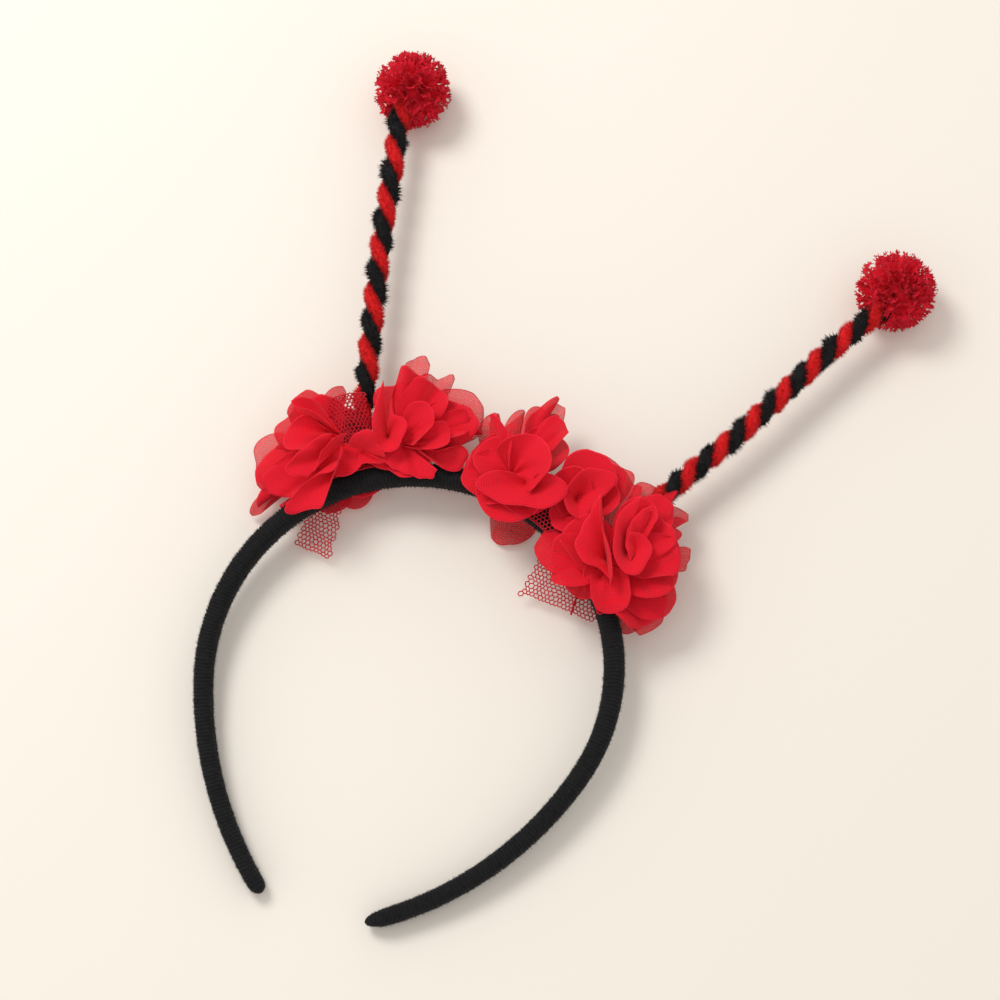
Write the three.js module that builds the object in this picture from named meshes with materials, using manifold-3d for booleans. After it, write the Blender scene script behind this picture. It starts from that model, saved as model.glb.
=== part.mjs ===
// A bee antenna headband: a plush covered hair band, two antennae of twisted
// chenille stems with ruffled pompoms, five chiffon flowers and two strips of net.
// Millimetres, +Z up. The headband lies on its side: X runs across the head,
// Y from the open ends of the band to its crown and on to the antennae.
import * as THREE from 'three';
import { mergeVertices } from 'three/addons/utils/BufferGeometryUtils.js';
import Module from 'manifold-3d';

const wasm = await Module();
wasm.setup();

// Band
const CROWN_RADIUS = 65;
const RIGHT_SHOULDER_RADIUS = 60;
const LEFT_LEG_RADIUS = 120;
const RIGHT_LEG_RADIUS = 110;
const LEFT_CROWN_TURN = 111;
const LEFT_LEG_TURN = 34;
const RIGHT_CROWN_TURN = 35;
const RIGHT_SHOULDER_TURN = 68.5;
const RIGHT_LEG_TURN = 42.5;
const BAND_THICKNESS = 7.2;
const BAND_WIDTH = 9.5;
const TIP_THICKNESS = 5.2;
const TIP_WIDTH = 7.6;
const LEFT_TIP_ROUNDING = 4;
const RIGHT_TIP_ROUNDING = 8;
const CROWN_HEIGHT = 14;
const BAND_SIDES = 10;
const BAND_SQUARENESS = 2.6;
const BAND_STEP = 12;

// Antennae
const STEM_DIAMETER = 4.1;
const STEM_SIDES = 5;
const STEPS_PER_TWIST = 6;
const LEFT_TWIST_PITCH = 18;
const RIGHT_TWIST_PITCH = 13.7;
const LEFT_STALK_LENGTH = 129.5;
const RIGHT_STALK_LENGTH = 127.5;
const STALK_HEIGHT = 13.5;
const STALK_SINK = 1.2;
const POMPOM_RADIUS = 12.7;
const LEFT_POMPOM_SHIFT = 3;
const RIGHT_POMPOM_SHIFT = -2;
const POMPOM_LOCKS = 20;
const POMPOM_DETAIL = 4;
const LOCK_GROOVE = 4.2;
const LOCK_DENT = 2.6;
const SOCKET_SIDES = 8;
const STALK_ROOM_STEPS = 10;
const SOCKET_DEPTH = 6.5;

// Flowers
const PETAL_LENGTH = 24;
const PETAL_WIDTH = 19;
const PETAL_WALL = 1.1;
const CORE_RADIUS = 4;
const CORE_SIDES = 8;
const CORE_FOOT = -0.16;
const CORE_END = 0.25;
const PETAL_ROWS = 3;
const PETAL_COLUMNS = 4;

// Net
const NET_WALL = 1;
const NET_HOLE = 0.66;
const LEFT_FLAP_LENGTH = 14;
const RIGHT_FLAP_LENGTH = 17;

const CLEARANCE = 0.3;

const STEM_RADIUS = STEM_DIAMETER / 2;
const TWIST_RADIUS = STEM_RADIUS + CLEARANCE / 2;
const STALK_RADIUS = TWIST_RADIUS + STEM_RADIUS;

// The band's centre line is a chain of arcs on each side of the crown. Its turn,
// in degrees from the crown, is negative on the left.
const SIDES = {
  left: {
    sign: -1,
    rounding: LEFT_TIP_ROUNDING,
    arcs: [
      { radius: CROWN_RADIUS, turn: LEFT_CROWN_TURN },
      { radius: LEFT_LEG_RADIUS, turn: LEFT_LEG_TURN },
    ],
  },
  right: {
    sign: 1,
    rounding: RIGHT_TIP_ROUNDING,
    arcs: [
      { radius: CROWN_RADIUS, turn: RIGHT_CROWN_TURN },
      { radius: RIGHT_SHOULDER_RADIUS, turn: RIGHT_SHOULDER_TURN },
      { radius: RIGHT_LEG_RADIUS, turn: RIGHT_LEG_TURN },
    ],
  },
};

function radians(degrees) {
  return THREE.MathUtils.degToRad(degrees);
}

function totalTurn(side) {
  return side.arcs.reduce((sum, arc) => sum + arc.turn, 0);
}

function arcLength(side) {
  return side.arcs.reduce((sum, arc) => sum + arc.radius * radians(arc.turn), 0);
}

// Walks the arcs of one side: where the centre line is after a turn, and how far
// along the band that is.
function walk(side, turn) {
  let x = 0;
  let y = 0;
  let turned = 0;
  let length = 0;
  let left = Math.abs(turn);
  for (const arc of side.arcs) {
    const part = Math.min(left, arc.turn);
    const from = radians(turned);
    const to = radians(turned + part);
    x += arc.radius * (Math.sin(to) - Math.sin(from));
    y += arc.radius * (Math.cos(to) - Math.cos(from));
    length += arc.radius * radians(part);
    turned += part;
    left -= part;
  }
  return { x: x * side.sign, y, length };
}

const LOWEST_TIP = Math.min(
  walk(SIDES.left, totalTurn(SIDES.left)).y,
  walk(SIDES.right, totalTurn(SIDES.right)).y,
);
const BAND_SLOPE = (CROWN_HEIGHT - TIP_WIDTH / 2) / -LOWEST_TIP;
const BAND_UP = new THREE.Vector3(0, -BAND_SLOPE, 1).normalize();

// The band's own frame at a turn: its centre, the way out from the head, the way
// along the band and how much it has thinned towards its tip.
function spine(turn) {
  const side = turn < 0 ? SIDES.left : SIDES.right;
  const at = walk(side, turn);
  const along = new THREE.Vector3(Math.cos(radians(turn)), -Math.sin(radians(turn)), 0);
  along.z = along.y * BAND_SLOPE;
  along.normalize();
  const out = new THREE.Vector3().crossVectors(BAND_UP, along).normalize();
  return {
    centre: new THREE.Vector3(at.x, at.y, CROWN_HEIGHT + at.y * BAND_SLOPE),
    out,
    along,
    thinned: at.length / arcLength(side),
  };
}

// A point beside the band, so far out from the head and so far up from its middle.
function besideBand(turn, out, up) {
  const frame = spine(turn);
  return frame.centre.clone().addScaledVector(frame.out, out).addScaledVector(BAND_UP, up);
}

// Closed solids

function solidFrom(positions, indices) {
  let volume = 0;
  const [a, b, c] = [new THREE.Vector3(), new THREE.Vector3(), new THREE.Vector3()];
  for (let i = 0; i < indices.length; i += 3) {
    a.fromArray(positions, indices[i] * 3);
    b.fromArray(positions, indices[i + 1] * 3);
    c.fromArray(positions, indices[i + 2] * 3);
    volume += a.dot(b.cross(c));
  }
  const triangles = new Uint32Array(indices);
  if (volume < 0) {
    for (let i = 0; i < triangles.length; i += 3) {
      [triangles[i], triangles[i + 1]] = [triangles[i + 1], triangles[i]];
    }
  }
  const mesh = { numProp: 3, vertProperties: new Float32Array(positions), triVerts: triangles };
  return new wasm.Manifold(new wasm.Mesh(mesh));
}

function solidFromGeometry(geometry) {
  const bare = geometry.clone();
  bare.deleteAttribute('normal');
  bare.deleteAttribute('uv');
  const merged = mergeVertices(bare, 1e-4);
  return solidFrom(Array.from(merged.attributes.position.array), Array.from(merged.index.array));
}

// Rings of points joined one after another and closed at both ends by fans.
function loft(rings) {
  const count = rings[0].length;
  const positions = [];
  const indices = [];
  for (const ring of rings) {
    for (const point of ring) {
      positions.push(point.x, point.y, point.z);
    }
  }
  for (let r = 0; r < rings.length - 1; r += 1) {
    for (let k = 0; k < count; k += 1) {
      const here = r * count + k;
      const next = r * count + ((k + 1) % count);
      indices.push(here, next, next + count, here, next + count, here + count);
    }
  }
  for (const [ring, start, flip] of [[rings[0], 0, false], [rings.at(-1), (rings.length - 1) * count, true]]) {
    const middle = positions.length / 3;
    const centre = ring.reduce((sum, p) => sum.add(p), new THREE.Vector3()).divideScalar(count);
    positions.push(centre.x, centre.y, centre.z);
    for (let k = 0; k < count; k += 1) {
      const here = start + k;
      const next = start + ((k + 1) % count);
      indices.push(...(flip ? [here, next, middle] : [next, here, middle]));
    }
  }
  return solidFrom(positions, indices);
}

// A grid of middle points made into a closed sheet of even thickness that never
// dips below the surface the headband lies on.
function sheetFromGrid(grid, wall) {
  const rows = grid.length;
  const columns = grid[0].length;
  const positions = [];
  const indices = [];
  for (const side of [1, -1]) {
    for (let r = 0; r < rows; r += 1) {
      for (let c = 0; c < columns; c += 1) {
        const down = grid[Math.min(r + 1, rows - 1)][c].clone().sub(grid[Math.max(r - 1, 0)][c]);
        const across = grid[r][Math.min(c + 1, columns - 1)].clone().sub(grid[r][Math.max(c - 1, 0)]);
        const normal = across.cross(down).normalize();
        const point = grid[r][c].clone().addScaledVector(normal, side * wall / 2);
        const floor = (side > 0) === (normal.z > 0) ? wall : 0;
        positions.push(point.x, point.y, Math.max(point.z, floor));
      }
    }
  }
  const back = rows * columns;
  for (let r = 0; r < rows - 1; r += 1) {
    for (let c = 0; c < columns - 1; c += 1) {
      const here = r * columns + c;
      const below = here + columns;
      indices.push(here, here + 1, below + 1, here, below + 1, below);
      indices.push(back + here, back + below + 1, back + here + 1, back + here, back + below, back + below + 1);
    }
  }
  const rim = [];
  for (let c = 0; c < columns; c += 1) rim.push(c);
  for (let r = 1; r < rows; r += 1) rim.push(r * columns + columns - 1);
  for (let c = columns - 2; c >= 0; c -= 1) rim.push((rows - 1) * columns + c);
  for (let r = rows - 2; r > 0; r -= 1) rim.push(r * columns);
  for (let k = 0; k < rim.length; k += 1) {
    const here = rim[k];
    const next = rim[(k + 1) % rim.length];
    indices.push(here, back + here, next, next, back + here, back + next);
  }
  return solidFrom(positions, indices);
}

// What a cut leaves loose falls away.
function largestOf(solid) {
  const pieces = solid.decompose();
  return pieces.reduce((best, piece) => (piece.volume() > best.volume() ? piece : best));
}

// Band

function bandSection(thickness, width) {
  const section = [];
  const power = 2 / BAND_SQUARENESS;
  for (let k = 0; k < BAND_SIDES; k += 1) {
    const angle = (2 * Math.PI * (k + 0.5)) / BAND_SIDES;
    const out = Math.sign(Math.cos(angle)) * Math.abs(Math.cos(angle)) ** power;
    const up = Math.sign(Math.sin(angle)) * Math.abs(Math.sin(angle)) ** power;
    section.push([out * thickness / 2, up * width / 2]);
  }
  return section;
}

function bandTurns(side) {
  const turns = [];
  let start = 0;
  for (const arc of side.arcs) {
    const steps = Math.ceil(arc.turn / BAND_STEP);
    for (let k = 1; k <= steps; k += 1) turns.push(start + (arc.turn * k) / steps);
    start += arc.turn;
  }
  const leg = side.arcs.at(-1).radius;
  const last = turns.pop();
  const rounding = THREE.MathUtils.radToDeg(side.rounding / leg);
  const kept = turns.filter((turn) => turn < last - rounding * 1.5);
  for (const share of [1, 0.6, 0.25, 0.04]) kept.push(last - rounding * share);
  return kept.map((turn) => turn * side.sign);
}

function bandRing(turn, extra) {
  const side = turn < 0 ? SIDES.left : SIDES.right;
  const frame = spine(turn);
  const toTip = (1 - frame.thinned) * arcLength(side);
  const round = Math.max(0, 1 - toTip / side.rounding);
  const share = Math.sqrt(1 - Math.min(round, 0.97) ** 2);
  const thickness = THREE.MathUtils.lerp(BAND_THICKNESS, TIP_THICKNESS, frame.thinned) * share;
  const width = THREE.MathUtils.lerp(BAND_WIDTH, TIP_WIDTH, frame.thinned) * share;
  const section = bandSection(thickness + 2 * extra, width + 2 * extra);
  return section.map(([out, up]) => besideBand(turn, out, up));
}

function band(extra = 0) {
  const turns = [...bandTurns(SIDES.left).reverse(), 0, ...bandTurns(SIDES.right)];
  return loft(turns.map((turn) => bandRing(turn, extra)));
}

// Antennae. Each stalk leaves the band at a turn and bends gently to its pompom.
// The table gives the bend's points: how far along the stalk's length they lie and
// how far they stand to the right of the straight line, both as shares of that length.
const STALKS = {
  left: {
    turn: -36,
    length: LEFT_STALK_LENGTH,
    heading: 106.5,
    pitch: LEFT_TWIST_PITCH,
    pompomShift: LEFT_POMPOM_SHIFT,
    phase: 40,
    bends: [
      { along: 0, aside: 0 },
      { along: 0.3, aside: -0.004 },
      { along: 0.6, aside: -0.005 },
      { along: 0.85, aside: 0.004 },
      { along: 1, aside: 0.006 },
    ],
  },
  right: {
    turn: 36,
    length: RIGHT_STALK_LENGTH,
    heading: 63,
    pitch: RIGHT_TWIST_PITCH,
    pompomShift: RIGHT_POMPOM_SHIFT,
    phase: 100,
    bends: [
      { along: 0, aside: 0 },
      { along: 0.3, aside: -0.003 },
      { along: 0.5, aside: 0.002 },
      { along: 0.8, aside: -0.006 },
      { along: 1, aside: 0 },
    ],
  },
};

function stalkFoot(stalk) {
  const out = BAND_THICKNESS / 2 + NET_WALL + 2 * CLEARANCE - STALK_SINK;
  return besideBand(stalk.turn, out, 0);
}

function stalkPoints(stalk) {
  const foot = stalkFoot(stalk);
  const ahead = new THREE.Vector2(Math.cos(radians(stalk.heading)), Math.sin(radians(stalk.heading)));
  return stalk.bends.map(({ along, aside }) => {
    const x = foot.x + stalk.length * (ahead.x * along + ahead.y * aside);
    const y = foot.y + stalk.length * (ahead.y * along - ahead.x * aside);
    const rise = Math.min(1, along * 4);
    return new THREE.Vector3(x, y, THREE.MathUtils.lerp(foot.z, STALK_HEIGHT, rise));
  });
}

function stalkCurve(stalk) {
  return new THREE.CatmullRomCurve3(stalkPoints(stalk));
}

function pompomCentre(stalk) {
  const curve = stalkCurve(stalk);
  const end = curve.getPointAt(1);
  const ahead = curve.getTangentAt(1).setZ(0).normalize();
  const reach = POMPOM_RADIUS - SOCKET_DEPTH;
  return new THREE.Vector3(
    end.x + ahead.x * reach + ahead.y * stalk.pompomShift,
    end.y + ahead.y * reach - ahead.x * stalk.pompomShift,
    POMPOM_RADIUS,
  );
}

// One stem winds round the stalk's line as a left-handed helix.
class TwistCurve extends THREE.Curve {
  constructor(stalk, phase) {
    super();
    this.centre = stalkCurve(stalk);
    this.twists = this.centre.getLength() / stalk.pitch;
    this.phase = radians(stalk.phase + phase);
  }

  getPoint(t, target = new THREE.Vector3()) {
    const middle = this.centre.getPointAt(t);
    const ahead = this.centre.getTangentAt(t);
    const beside = new THREE.Vector3().crossVectors(ahead, new THREE.Vector3(0, 0, 1)).normalize();
    const above = new THREE.Vector3().crossVectors(beside, ahead).normalize();
    const angle = this.phase + 2 * Math.PI * this.twists * t;
    target.copy(middle);
    target.addScaledVector(beside, TWIST_RADIUS * Math.cos(angle));
    target.addScaledVector(above, TWIST_RADIUS * Math.sin(angle));
    return target;
  }
}

function roundSection(radius, sides) {
  const section = [];
  for (let k = 0; k < sides; k += 1) {
    const angle = (2 * Math.PI * k) / sides;
    section.push(new THREE.Vector2(radius * Math.cos(angle), radius * Math.sin(angle)));
  }
  return new THREE.Shape(section);
}

function tube(curve, radius, sides, steps) {
  const shape = roundSection(radius, sides);
  const geometry = new THREE.ExtrudeGeometry(shape, { extrudePath: curve, steps, curveSegments: 1 });
  return solidFromGeometry(geometry);
}

function stem(stalk, phase) {
  const curve = new TwistCurve(stalk, phase);
  const steps = Math.round(curve.twists * STEPS_PER_TWIST);
  return tube(curve, STEM_RADIUS, STEM_SIDES, steps);
}

// The room a stalk takes, with its clearance, for what is cut away round it.
const ROOM_RADIUS = (STALK_RADIUS + CLEARANCE) / Math.cos(Math.PI / SOCKET_SIDES);

function stalkRoom(stalk) {
  return tube(stalkCurve(stalk), ROOM_RADIUS, SOCKET_SIDES, STALK_ROOM_STEPS);
}

// Pompom: a round head covered in flared locks, spread by the golden angle, with a
// dent in each lock's mouth and a groove between neighbours.
function lockDirections() {
  const golden = Math.PI * (3 - Math.sqrt(5));
  return Array.from({ length: POMPOM_LOCKS }, (unused, k) => {
    const z = 1 - (2 * (k + 0.5)) / POMPOM_LOCKS;
    const ring = Math.sqrt(1 - z * z);
    return new THREE.Vector3(ring * Math.cos(golden * k), ring * Math.sin(golden * k), z);
  });
}

function lockedRadius(direction, locks) {
  const angles = locks.map((lock) => direction.angleTo(lock)).sort((a, b) => a - b);
  const spread = Math.sqrt(4 / POMPOM_LOCKS);
  const betweenLocks = Math.exp(-(((angles[1] - angles[0]) / (0.4 * spread)) ** 2));
  const insideMouth = Math.exp(-((angles[0] / (0.4 * spread)) ** 2));
  return POMPOM_RADIUS - LOCK_GROOVE * betweenLocks - LOCK_DENT * insideMouth;
}

function pompom(stalk) {
  const ball = new THREE.IcosahedronGeometry(1, POMPOM_DETAIL);
  const locks = lockDirections();
  const places = ball.attributes.position;
  const direction = new THREE.Vector3();
  for (let k = 0; k < places.count; k += 1) {
    direction.fromBufferAttribute(places, k).normalize();
    const radius = lockedRadius(direction, locks);
    places.setXYZ(k, direction.x * radius, direction.y * radius, direction.z * radius);
  }
  const centre = pompomCentre(stalk);
  const head = solidFromGeometry(ball);
  const placed = head.translate([centre.x, centre.y, -head.boundingBox().min[2]]);
  const curve = stalkCurve(stalk);
  const end = curve.getPointAt(1);
  const ahead = curve.getTangentAt(1);
  const way = new THREE.LineCurve3(
    end.clone().addScaledVector(ahead, -STEM_DIAMETER),
    end.clone().addScaledVector(ahead, STEM_RADIUS * 0.7 + CLEARANCE),
  );
  const socket = tube(way, ROOM_RADIUS, SOCKET_SIDES, 1).add(stalkRoom(stalk));
  return largestOf(placed.subtract(socket));
}

// Net. Each strip wraps the band from its upper inner edge over the top and the outer
// face to the underside, and ends in a cut flap inside the band. The wrap's corners
// are given by the band's turn; the flap's by turn and by shares of its length.
const NETS = {
  left: {
    wrapFrom: -58,
    wrapTo: -33,
    endFrom: -62,
    endTo: -56,
    flap: LEFT_FLAP_LENGTH,
    reachFrom: 0.2,
    reachTo: 1,
    columns: 5,
    flapRows: 2,
  },
  right: {
    wrapFrom: 22,
    wrapTo: 50,
    endFrom: 31,
    endTo: 52,
    flap: RIGHT_FLAP_LENGTH,
    reachFrom: 1,
    reachTo: 0.12,
    columns: 5,
    flapRows: 3,
  },
};

// The wrap's way round the band, as shares of the band's half thickness and half
// width; the net stands off by its clearance and half its wall.
const NET_WRAP = [
  { out: -0.9, up: 1 },
  { out: -0.1, up: 1 },
  { out: 0.75, up: 0.92 },
  { out: 1, up: 0 },
  { out: 0.75, up: -0.92 },
  { out: -0.3, up: -1 },
];

function netPoint(net, across, row) {
  const stand = CLEARANCE + NET_WALL / 2;
  const turn = THREE.MathUtils.lerp(net.wrapFrom, net.wrapTo, across);
  const wrapPoint = (way) => {
    const out = way.out * BAND_THICKNESS / 2 + Math.sign(way.out) * stand * (Math.abs(way.out) > 0.95 ? 1 : 0.8);
    const up = way.up * BAND_WIDTH / 2 + Math.sign(way.up) * stand * (Math.abs(way.up) > 0.9 ? 1 : 0.3);
    return besideBand(turn, out, up);
  };
  if (row < NET_WRAP.length) return wrapPoint(NET_WRAP[row]);
  const from = wrapPoint(NET_WRAP.at(-1));
  const reach = THREE.MathUtils.lerp(net.reachFrom, net.reachTo, across) * net.flap;
  const endTurn = THREE.MathUtils.lerp(net.endFrom, net.endTo, across);
  const end = besideBand(endTurn, -BAND_THICKNESS / 2 - reach, -BAND_WIDTH / 2 - stand);
  return from.lerp(end, (row - NET_WRAP.length + 1) / net.flapRows);
}

function netGrid(net) {
  const grid = [];
  for (let r = 0; r < NET_WRAP.length + net.flapRows; r += 1) {
    const row = [];
    for (let c = 0; c <= net.columns; c += 1) row.push(netPoint(net, c / net.columns, r));
    grid.push(row);
  }
  return grid;
}

// The same sheet with a diamond hole through every cell.
function piercedSheet(grid, wall, hole) {
  const rows = grid.length;
  const columns = grid[0].length;
  const positions = [];
  const indices = [];
  const normals = grid.map((line, r) => line.map((point, c) => {
    const down = grid[Math.min(r + 1, rows - 1)][c].clone().sub(grid[Math.max(r - 1, 0)][c]);
    const across = line[Math.min(c + 1, columns - 1)].clone().sub(line[Math.max(c - 1, 0)]);
    return across.cross(down).normalize();
  }));
  const push = (point, normal, side) => {
    const moved = point.clone().addScaledVector(normal, side * wall / 2);
    positions.push(moved.x, moved.y, moved.z);
    return positions.length / 3 - 1;
  };
  const corner = [1, -1].map((side) => grid.map((line, r) => line.map((p, c) => push(p, normals[r][c], side))));
  const wallBetween = (a, b, c, d) => indices.push(a, b, c, b, d, c);
  for (let r = 0; r < rows - 1; r += 1) {
    for (let c = 0; c < columns - 1; c += 1) {
      const spots = [[r, c], [r, c + 1], [r + 1, c + 1], [r + 1, c]];
      const middle = spots.reduce((sum, [i, j]) => sum.add(grid[i][j]), new THREE.Vector3()).divideScalar(4);
      const normal = spots.reduce((sum, [i, j]) => sum.add(normals[i][j]), new THREE.Vector3()).normalize();
      const diamond = [1, -1].map((side) => spots.map(([i, j], k) => {
        const [m, n] = spots[(k + 1) % 4];
        const edge = grid[i][j].clone().add(grid[m][n]).divideScalar(2);
        return push(middle.clone().lerp(edge, hole), normal, side);
      }));
      for (const face of [0, 1]) {
        for (let k = 0; k < 4; k += 1) {
          const [i, j] = spots[k];
          const [m, n] = spots[(k + 1) % 4];
          const before = diamond[face][(k + 3) % 4];
          const after = diamond[face][k];
          const here = corner[face][i][j];
          const next = corner[face][m][n];
          const pair = [[here, after, before], [here, next, after]];
          for (const [a, b, d] of pair) indices.push(...(face === 0 ? [a, b, d] : [a, d, b]));
        }
      }
      for (let k = 0; k < 4; k += 1) {
        const next = (k + 1) % 4;
        wallBetween(diamond[0][k], diamond[0][next], diamond[1][k], diamond[1][next]);
      }
    }
  }
  const rim = [];
  for (let c = 0; c < columns; c += 1) rim.push([0, c]);
  for (let r = 1; r < rows; r += 1) rim.push([r, columns - 1]);
  for (let c = columns - 2; c >= 0; c -= 1) rim.push([rows - 1, c]);
  for (let r = rows - 2; r > 0; r -= 1) rim.push([r, 0]);
  for (let k = 0; k < rim.length; k += 1) {
    const [i, j] = rim[k];
    const [m, n] = rim[(k + 1) % rim.length];
    wallBetween(corner[0][m][n], corner[0][i][j], corner[1][m][n], corner[1][i][j]);
  }
  return solidFrom(positions, indices);
}

function net(spec) {
  return piercedSheet(netGrid(spec), NET_WALL, NET_HOLE);
}

function netRoom(spec) {
  return sheetFromGrid(netGrid(spec), NET_WALL + 2 * CLEARANCE);
}

// Flowers. Each is gathered on a short core that stands on the band's outer face,
// from its foot up to its heart. The heart's place is given in shares of the band's
// thickness and width from the middle of the band. A petal is a round lobe that
// grows from the core: sink is how far down the core, turn the compass heading of its
// tip from the +X axis and lift its rise, both in degrees; reach and breadth are
// shares of the petal's length and width; cup bends it across and curl along.
const FLOWERS = [
  {
    name: 'flower_1',
    turn: -43,
    heart: { out: 1.1, up: 0.63 },
    petals: [
      { sink: 0.3, turn: 195, lift: -14, reach: 1.15, breadth: 0.95, cup: 40, curl: -30 },
      { sink: 0, turn: 138, lift: 10, reach: 1.0, breadth: 0.9, cup: 60, curl: -20 },
      { sink: 0, turn: 104, lift: 8, reach: 1.05, breadth: 0.6, cup: 50, curl: -20 },
      { sink: 0.3, turn: 230, lift: -14, reach: 1.25, breadth: 0.6, cup: 80, curl: -40 },
      { sink: 0, turn: 268, lift: 12, reach: 0.85, breadth: 0.85, cup: 60, curl: -60 },
      { sink: 0, turn: 226, lift: 40, reach: 0.75, breadth: 0.8, cup: 110, curl: 0 },
      { sink: 0, turn: 320, lift: 20, reach: 0.6, breadth: 0.8, cup: 70, curl: -60 },
      { sink: 1, turn: 330, lift: -34, reach: 0.9, breadth: 0.8, cup: 10, curl: 70 },
    ],
  },
  {
    name: 'flower_2',
    turn: -25,
    heart: { out: 1.25, up: 0.53 },
    petals: [
      { sink: 0, turn: 117, lift: 22, reach: 1.0, breadth: 0.85, cup: 80, curl: -10 },
      { sink: 0.4, turn: 98, lift: -4, reach: 1.38, breadth: 0.7, cup: 30, curl: -16 },
      { sink: 0, turn: 76, lift: 14, reach: 1.0, breadth: 0.85, cup: 50, curl: -20 },
      { sink: 0.3, turn: 52, lift: -8, reach: 1.28, breadth: 1.0, cup: 40, curl: -20 },
      { sink: 0, turn: 22, lift: 4, reach: 1.0, breadth: 0.7, cup: 70, curl: -20 },
      { sink: 0, turn: -20, lift: 12, reach: 0.85, breadth: 0.95, cup: 50, curl: -50 },
      { sink: 0, turn: 246, lift: 40, reach: 0.55, breadth: 0.8, cup: 120, curl: -20 },
      { sink: 1, turn: 280, lift: -36, reach: 0.85, breadth: 0.95, cup: 10, curl: 80 },
    ],
  },
  {
    name: 'flower_3',
    turn: 6,
    heart: { out: 0.76, up: 0.74 },
    petals: [
      { sink: 0.4, turn: 124, lift: -6, reach: 1.0, breadth: 0.65, cup: 50, curl: -20 },
      { sink: 0.4, turn: 102, lift: -6, reach: 0.92, breadth: 0.6, cup: 50, curl: -10 },
      { sink: 0.3, turn: 80, lift: -4, reach: 1.25, breadth: 0.8, cup: 70, curl: 0 },
      { sink: 0, turn: 198, lift: -6, reach: 0.75, breadth: 0.9, cup: 50, curl: -40 },
      { sink: 0, turn: 300, lift: 14, reach: 0.65, breadth: 1.0, cup: 60, curl: -50 },
      { sink: 0, turn: 356, lift: 20, reach: 0.7, breadth: 0.8, cup: 80, curl: -20 },
      { sink: 0, turn: 60, lift: 42, reach: 0.6, breadth: 0.9, cup: 80, curl: 0 },
      { sink: 1, turn: 292, lift: -32, reach: 1.0, breadth: 0.8, cup: 10, curl: 70 },
    ],
  },
  {
    name: 'flower_4',
    turn: 25,
    heart: { out: 1.25, up: 0.53 },
    petals: [
      { sink: 0.4, turn: 94, lift: -4, reach: 0.95, breadth: 0.9, cup: 40, curl: -30 },
      { sink: 0, turn: 88, lift: 30, reach: 0.7, breadth: 0.85, cup: 90, curl: 0 },
      { sink: 0, turn: 285, lift: 48, reach: 0.4, breadth: 0.8, cup: 110, curl: 30 },
    ],
  },
  {
    name: 'flower_5',
    turn: 41,
    heart: { out: 0.76, up: 0.84 },
    petals: [
      { sink: 0, turn: 97, lift: -2, reach: 1.45, breadth: 0.85, cup: 40, curl: -30 },
      { sink: 0.2, turn: 54, lift: -12, reach: 1.35, breadth: 0.6, cup: 60, curl: -20 },
      { sink: 0, turn: 20, lift: -8, reach: 1.0, breadth: 1.05, cup: 50, curl: -30 },
      { sink: 0, turn: -20, lift: -12, reach: 0.95, breadth: 0.95, cup: 40, curl: -30 },
      { sink: 0, turn: 176, lift: 6, reach: 0.95, breadth: 1.05, cup: 50, curl: -50 },
      { sink: 0, turn: 214, lift: 2, reach: 0.65, breadth: 0.8, cup: 60, curl: -60 },
      { sink: 0, turn: 290, lift: 8, reach: 0.65, breadth: 0.9, cup: 70, curl: -30 },
      { sink: 0, turn: 92, lift: 38, reach: 0.75, breadth: 0.85, cup: 100, curl: 0 },
      { sink: 0.8, turn: 318, lift: -16, reach: 1.0, breadth: 0.8, cup: 20, curl: -20 },
    ],
  },
];

// Where neighbouring flowers part: the band's turn there and the heading of the line
// between them.
const PARTINGS = [
  { turn: -34, heading: 106 },
  { turn: -8.5, heading: 97 },
  { turn: 17, heading: 84 },
  { turn: 28, heading: 68 },
];

function petalPoint(row, across, along) {
  const length = row.reach * PETAL_LENGTH;
  const half = Math.min(row.breadth * PETAL_WIDTH, 1.6 * length) / 2;
  const lobe = length - half;
  const widest = Math.asin(Math.min(0.95, half / Math.max(lobe, half * 0.9)));
  const angle = across * widest;
  const edge = lobe * Math.cos(angle) + Math.sqrt(Math.max(half ** 2 - (lobe * Math.sin(angle)) ** 2, 0));
  const beside = along * edge * Math.sin(angle);
  const ahead = along * edge * Math.cos(angle);
  const bend = radians(row.cup) / (2 * half);
  return {
    beside: Math.sin(beside * bend) / bend,
    above: (1 - Math.cos(beside * bend)) / bend,
    ahead: ahead / length,
    length,
  };
}

function petal(root, row, wall) {
  const heading = new THREE.Vector3(Math.cos(radians(row.turn)), Math.sin(radians(row.turn)), 0);
  const aside = new THREE.Vector3(-heading.y, heading.x, 0);
  const lift = radians(row.lift);
  const curl = radians(row.curl) || 1e-3;
  const start = lift - curl / 2;
  const foot = (0.8 * CORE_RADIUS) / (row.reach * PETAL_LENGTH);
  const grid = [];
  for (let r = 0; r <= PETAL_ROWS; r += 1) {
    const line = [];
    for (let c = 0; c <= PETAL_COLUMNS; c += 1) {
      const along = THREE.MathUtils.lerp(foot, 1, r / PETAL_ROWS);
      const at = petalPoint(row, (2 * c) / PETAL_COLUMNS - 1, along);
      const slope = start + curl * at.ahead;
      const forward = at.length * (Math.sin(slope) - Math.sin(start)) / curl - at.above * Math.sin(slope);
      const upward = at.length * (Math.cos(start) - Math.cos(slope)) / curl + at.above * Math.cos(slope);
      const point = heading.clone().multiplyScalar(forward).setZ(upward);
      line.push(point.addScaledVector(aside, -at.beside).add(root));
    }
    grid.push(line);
  }
  return sheetFromGrid(grid, wall);
}

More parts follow.
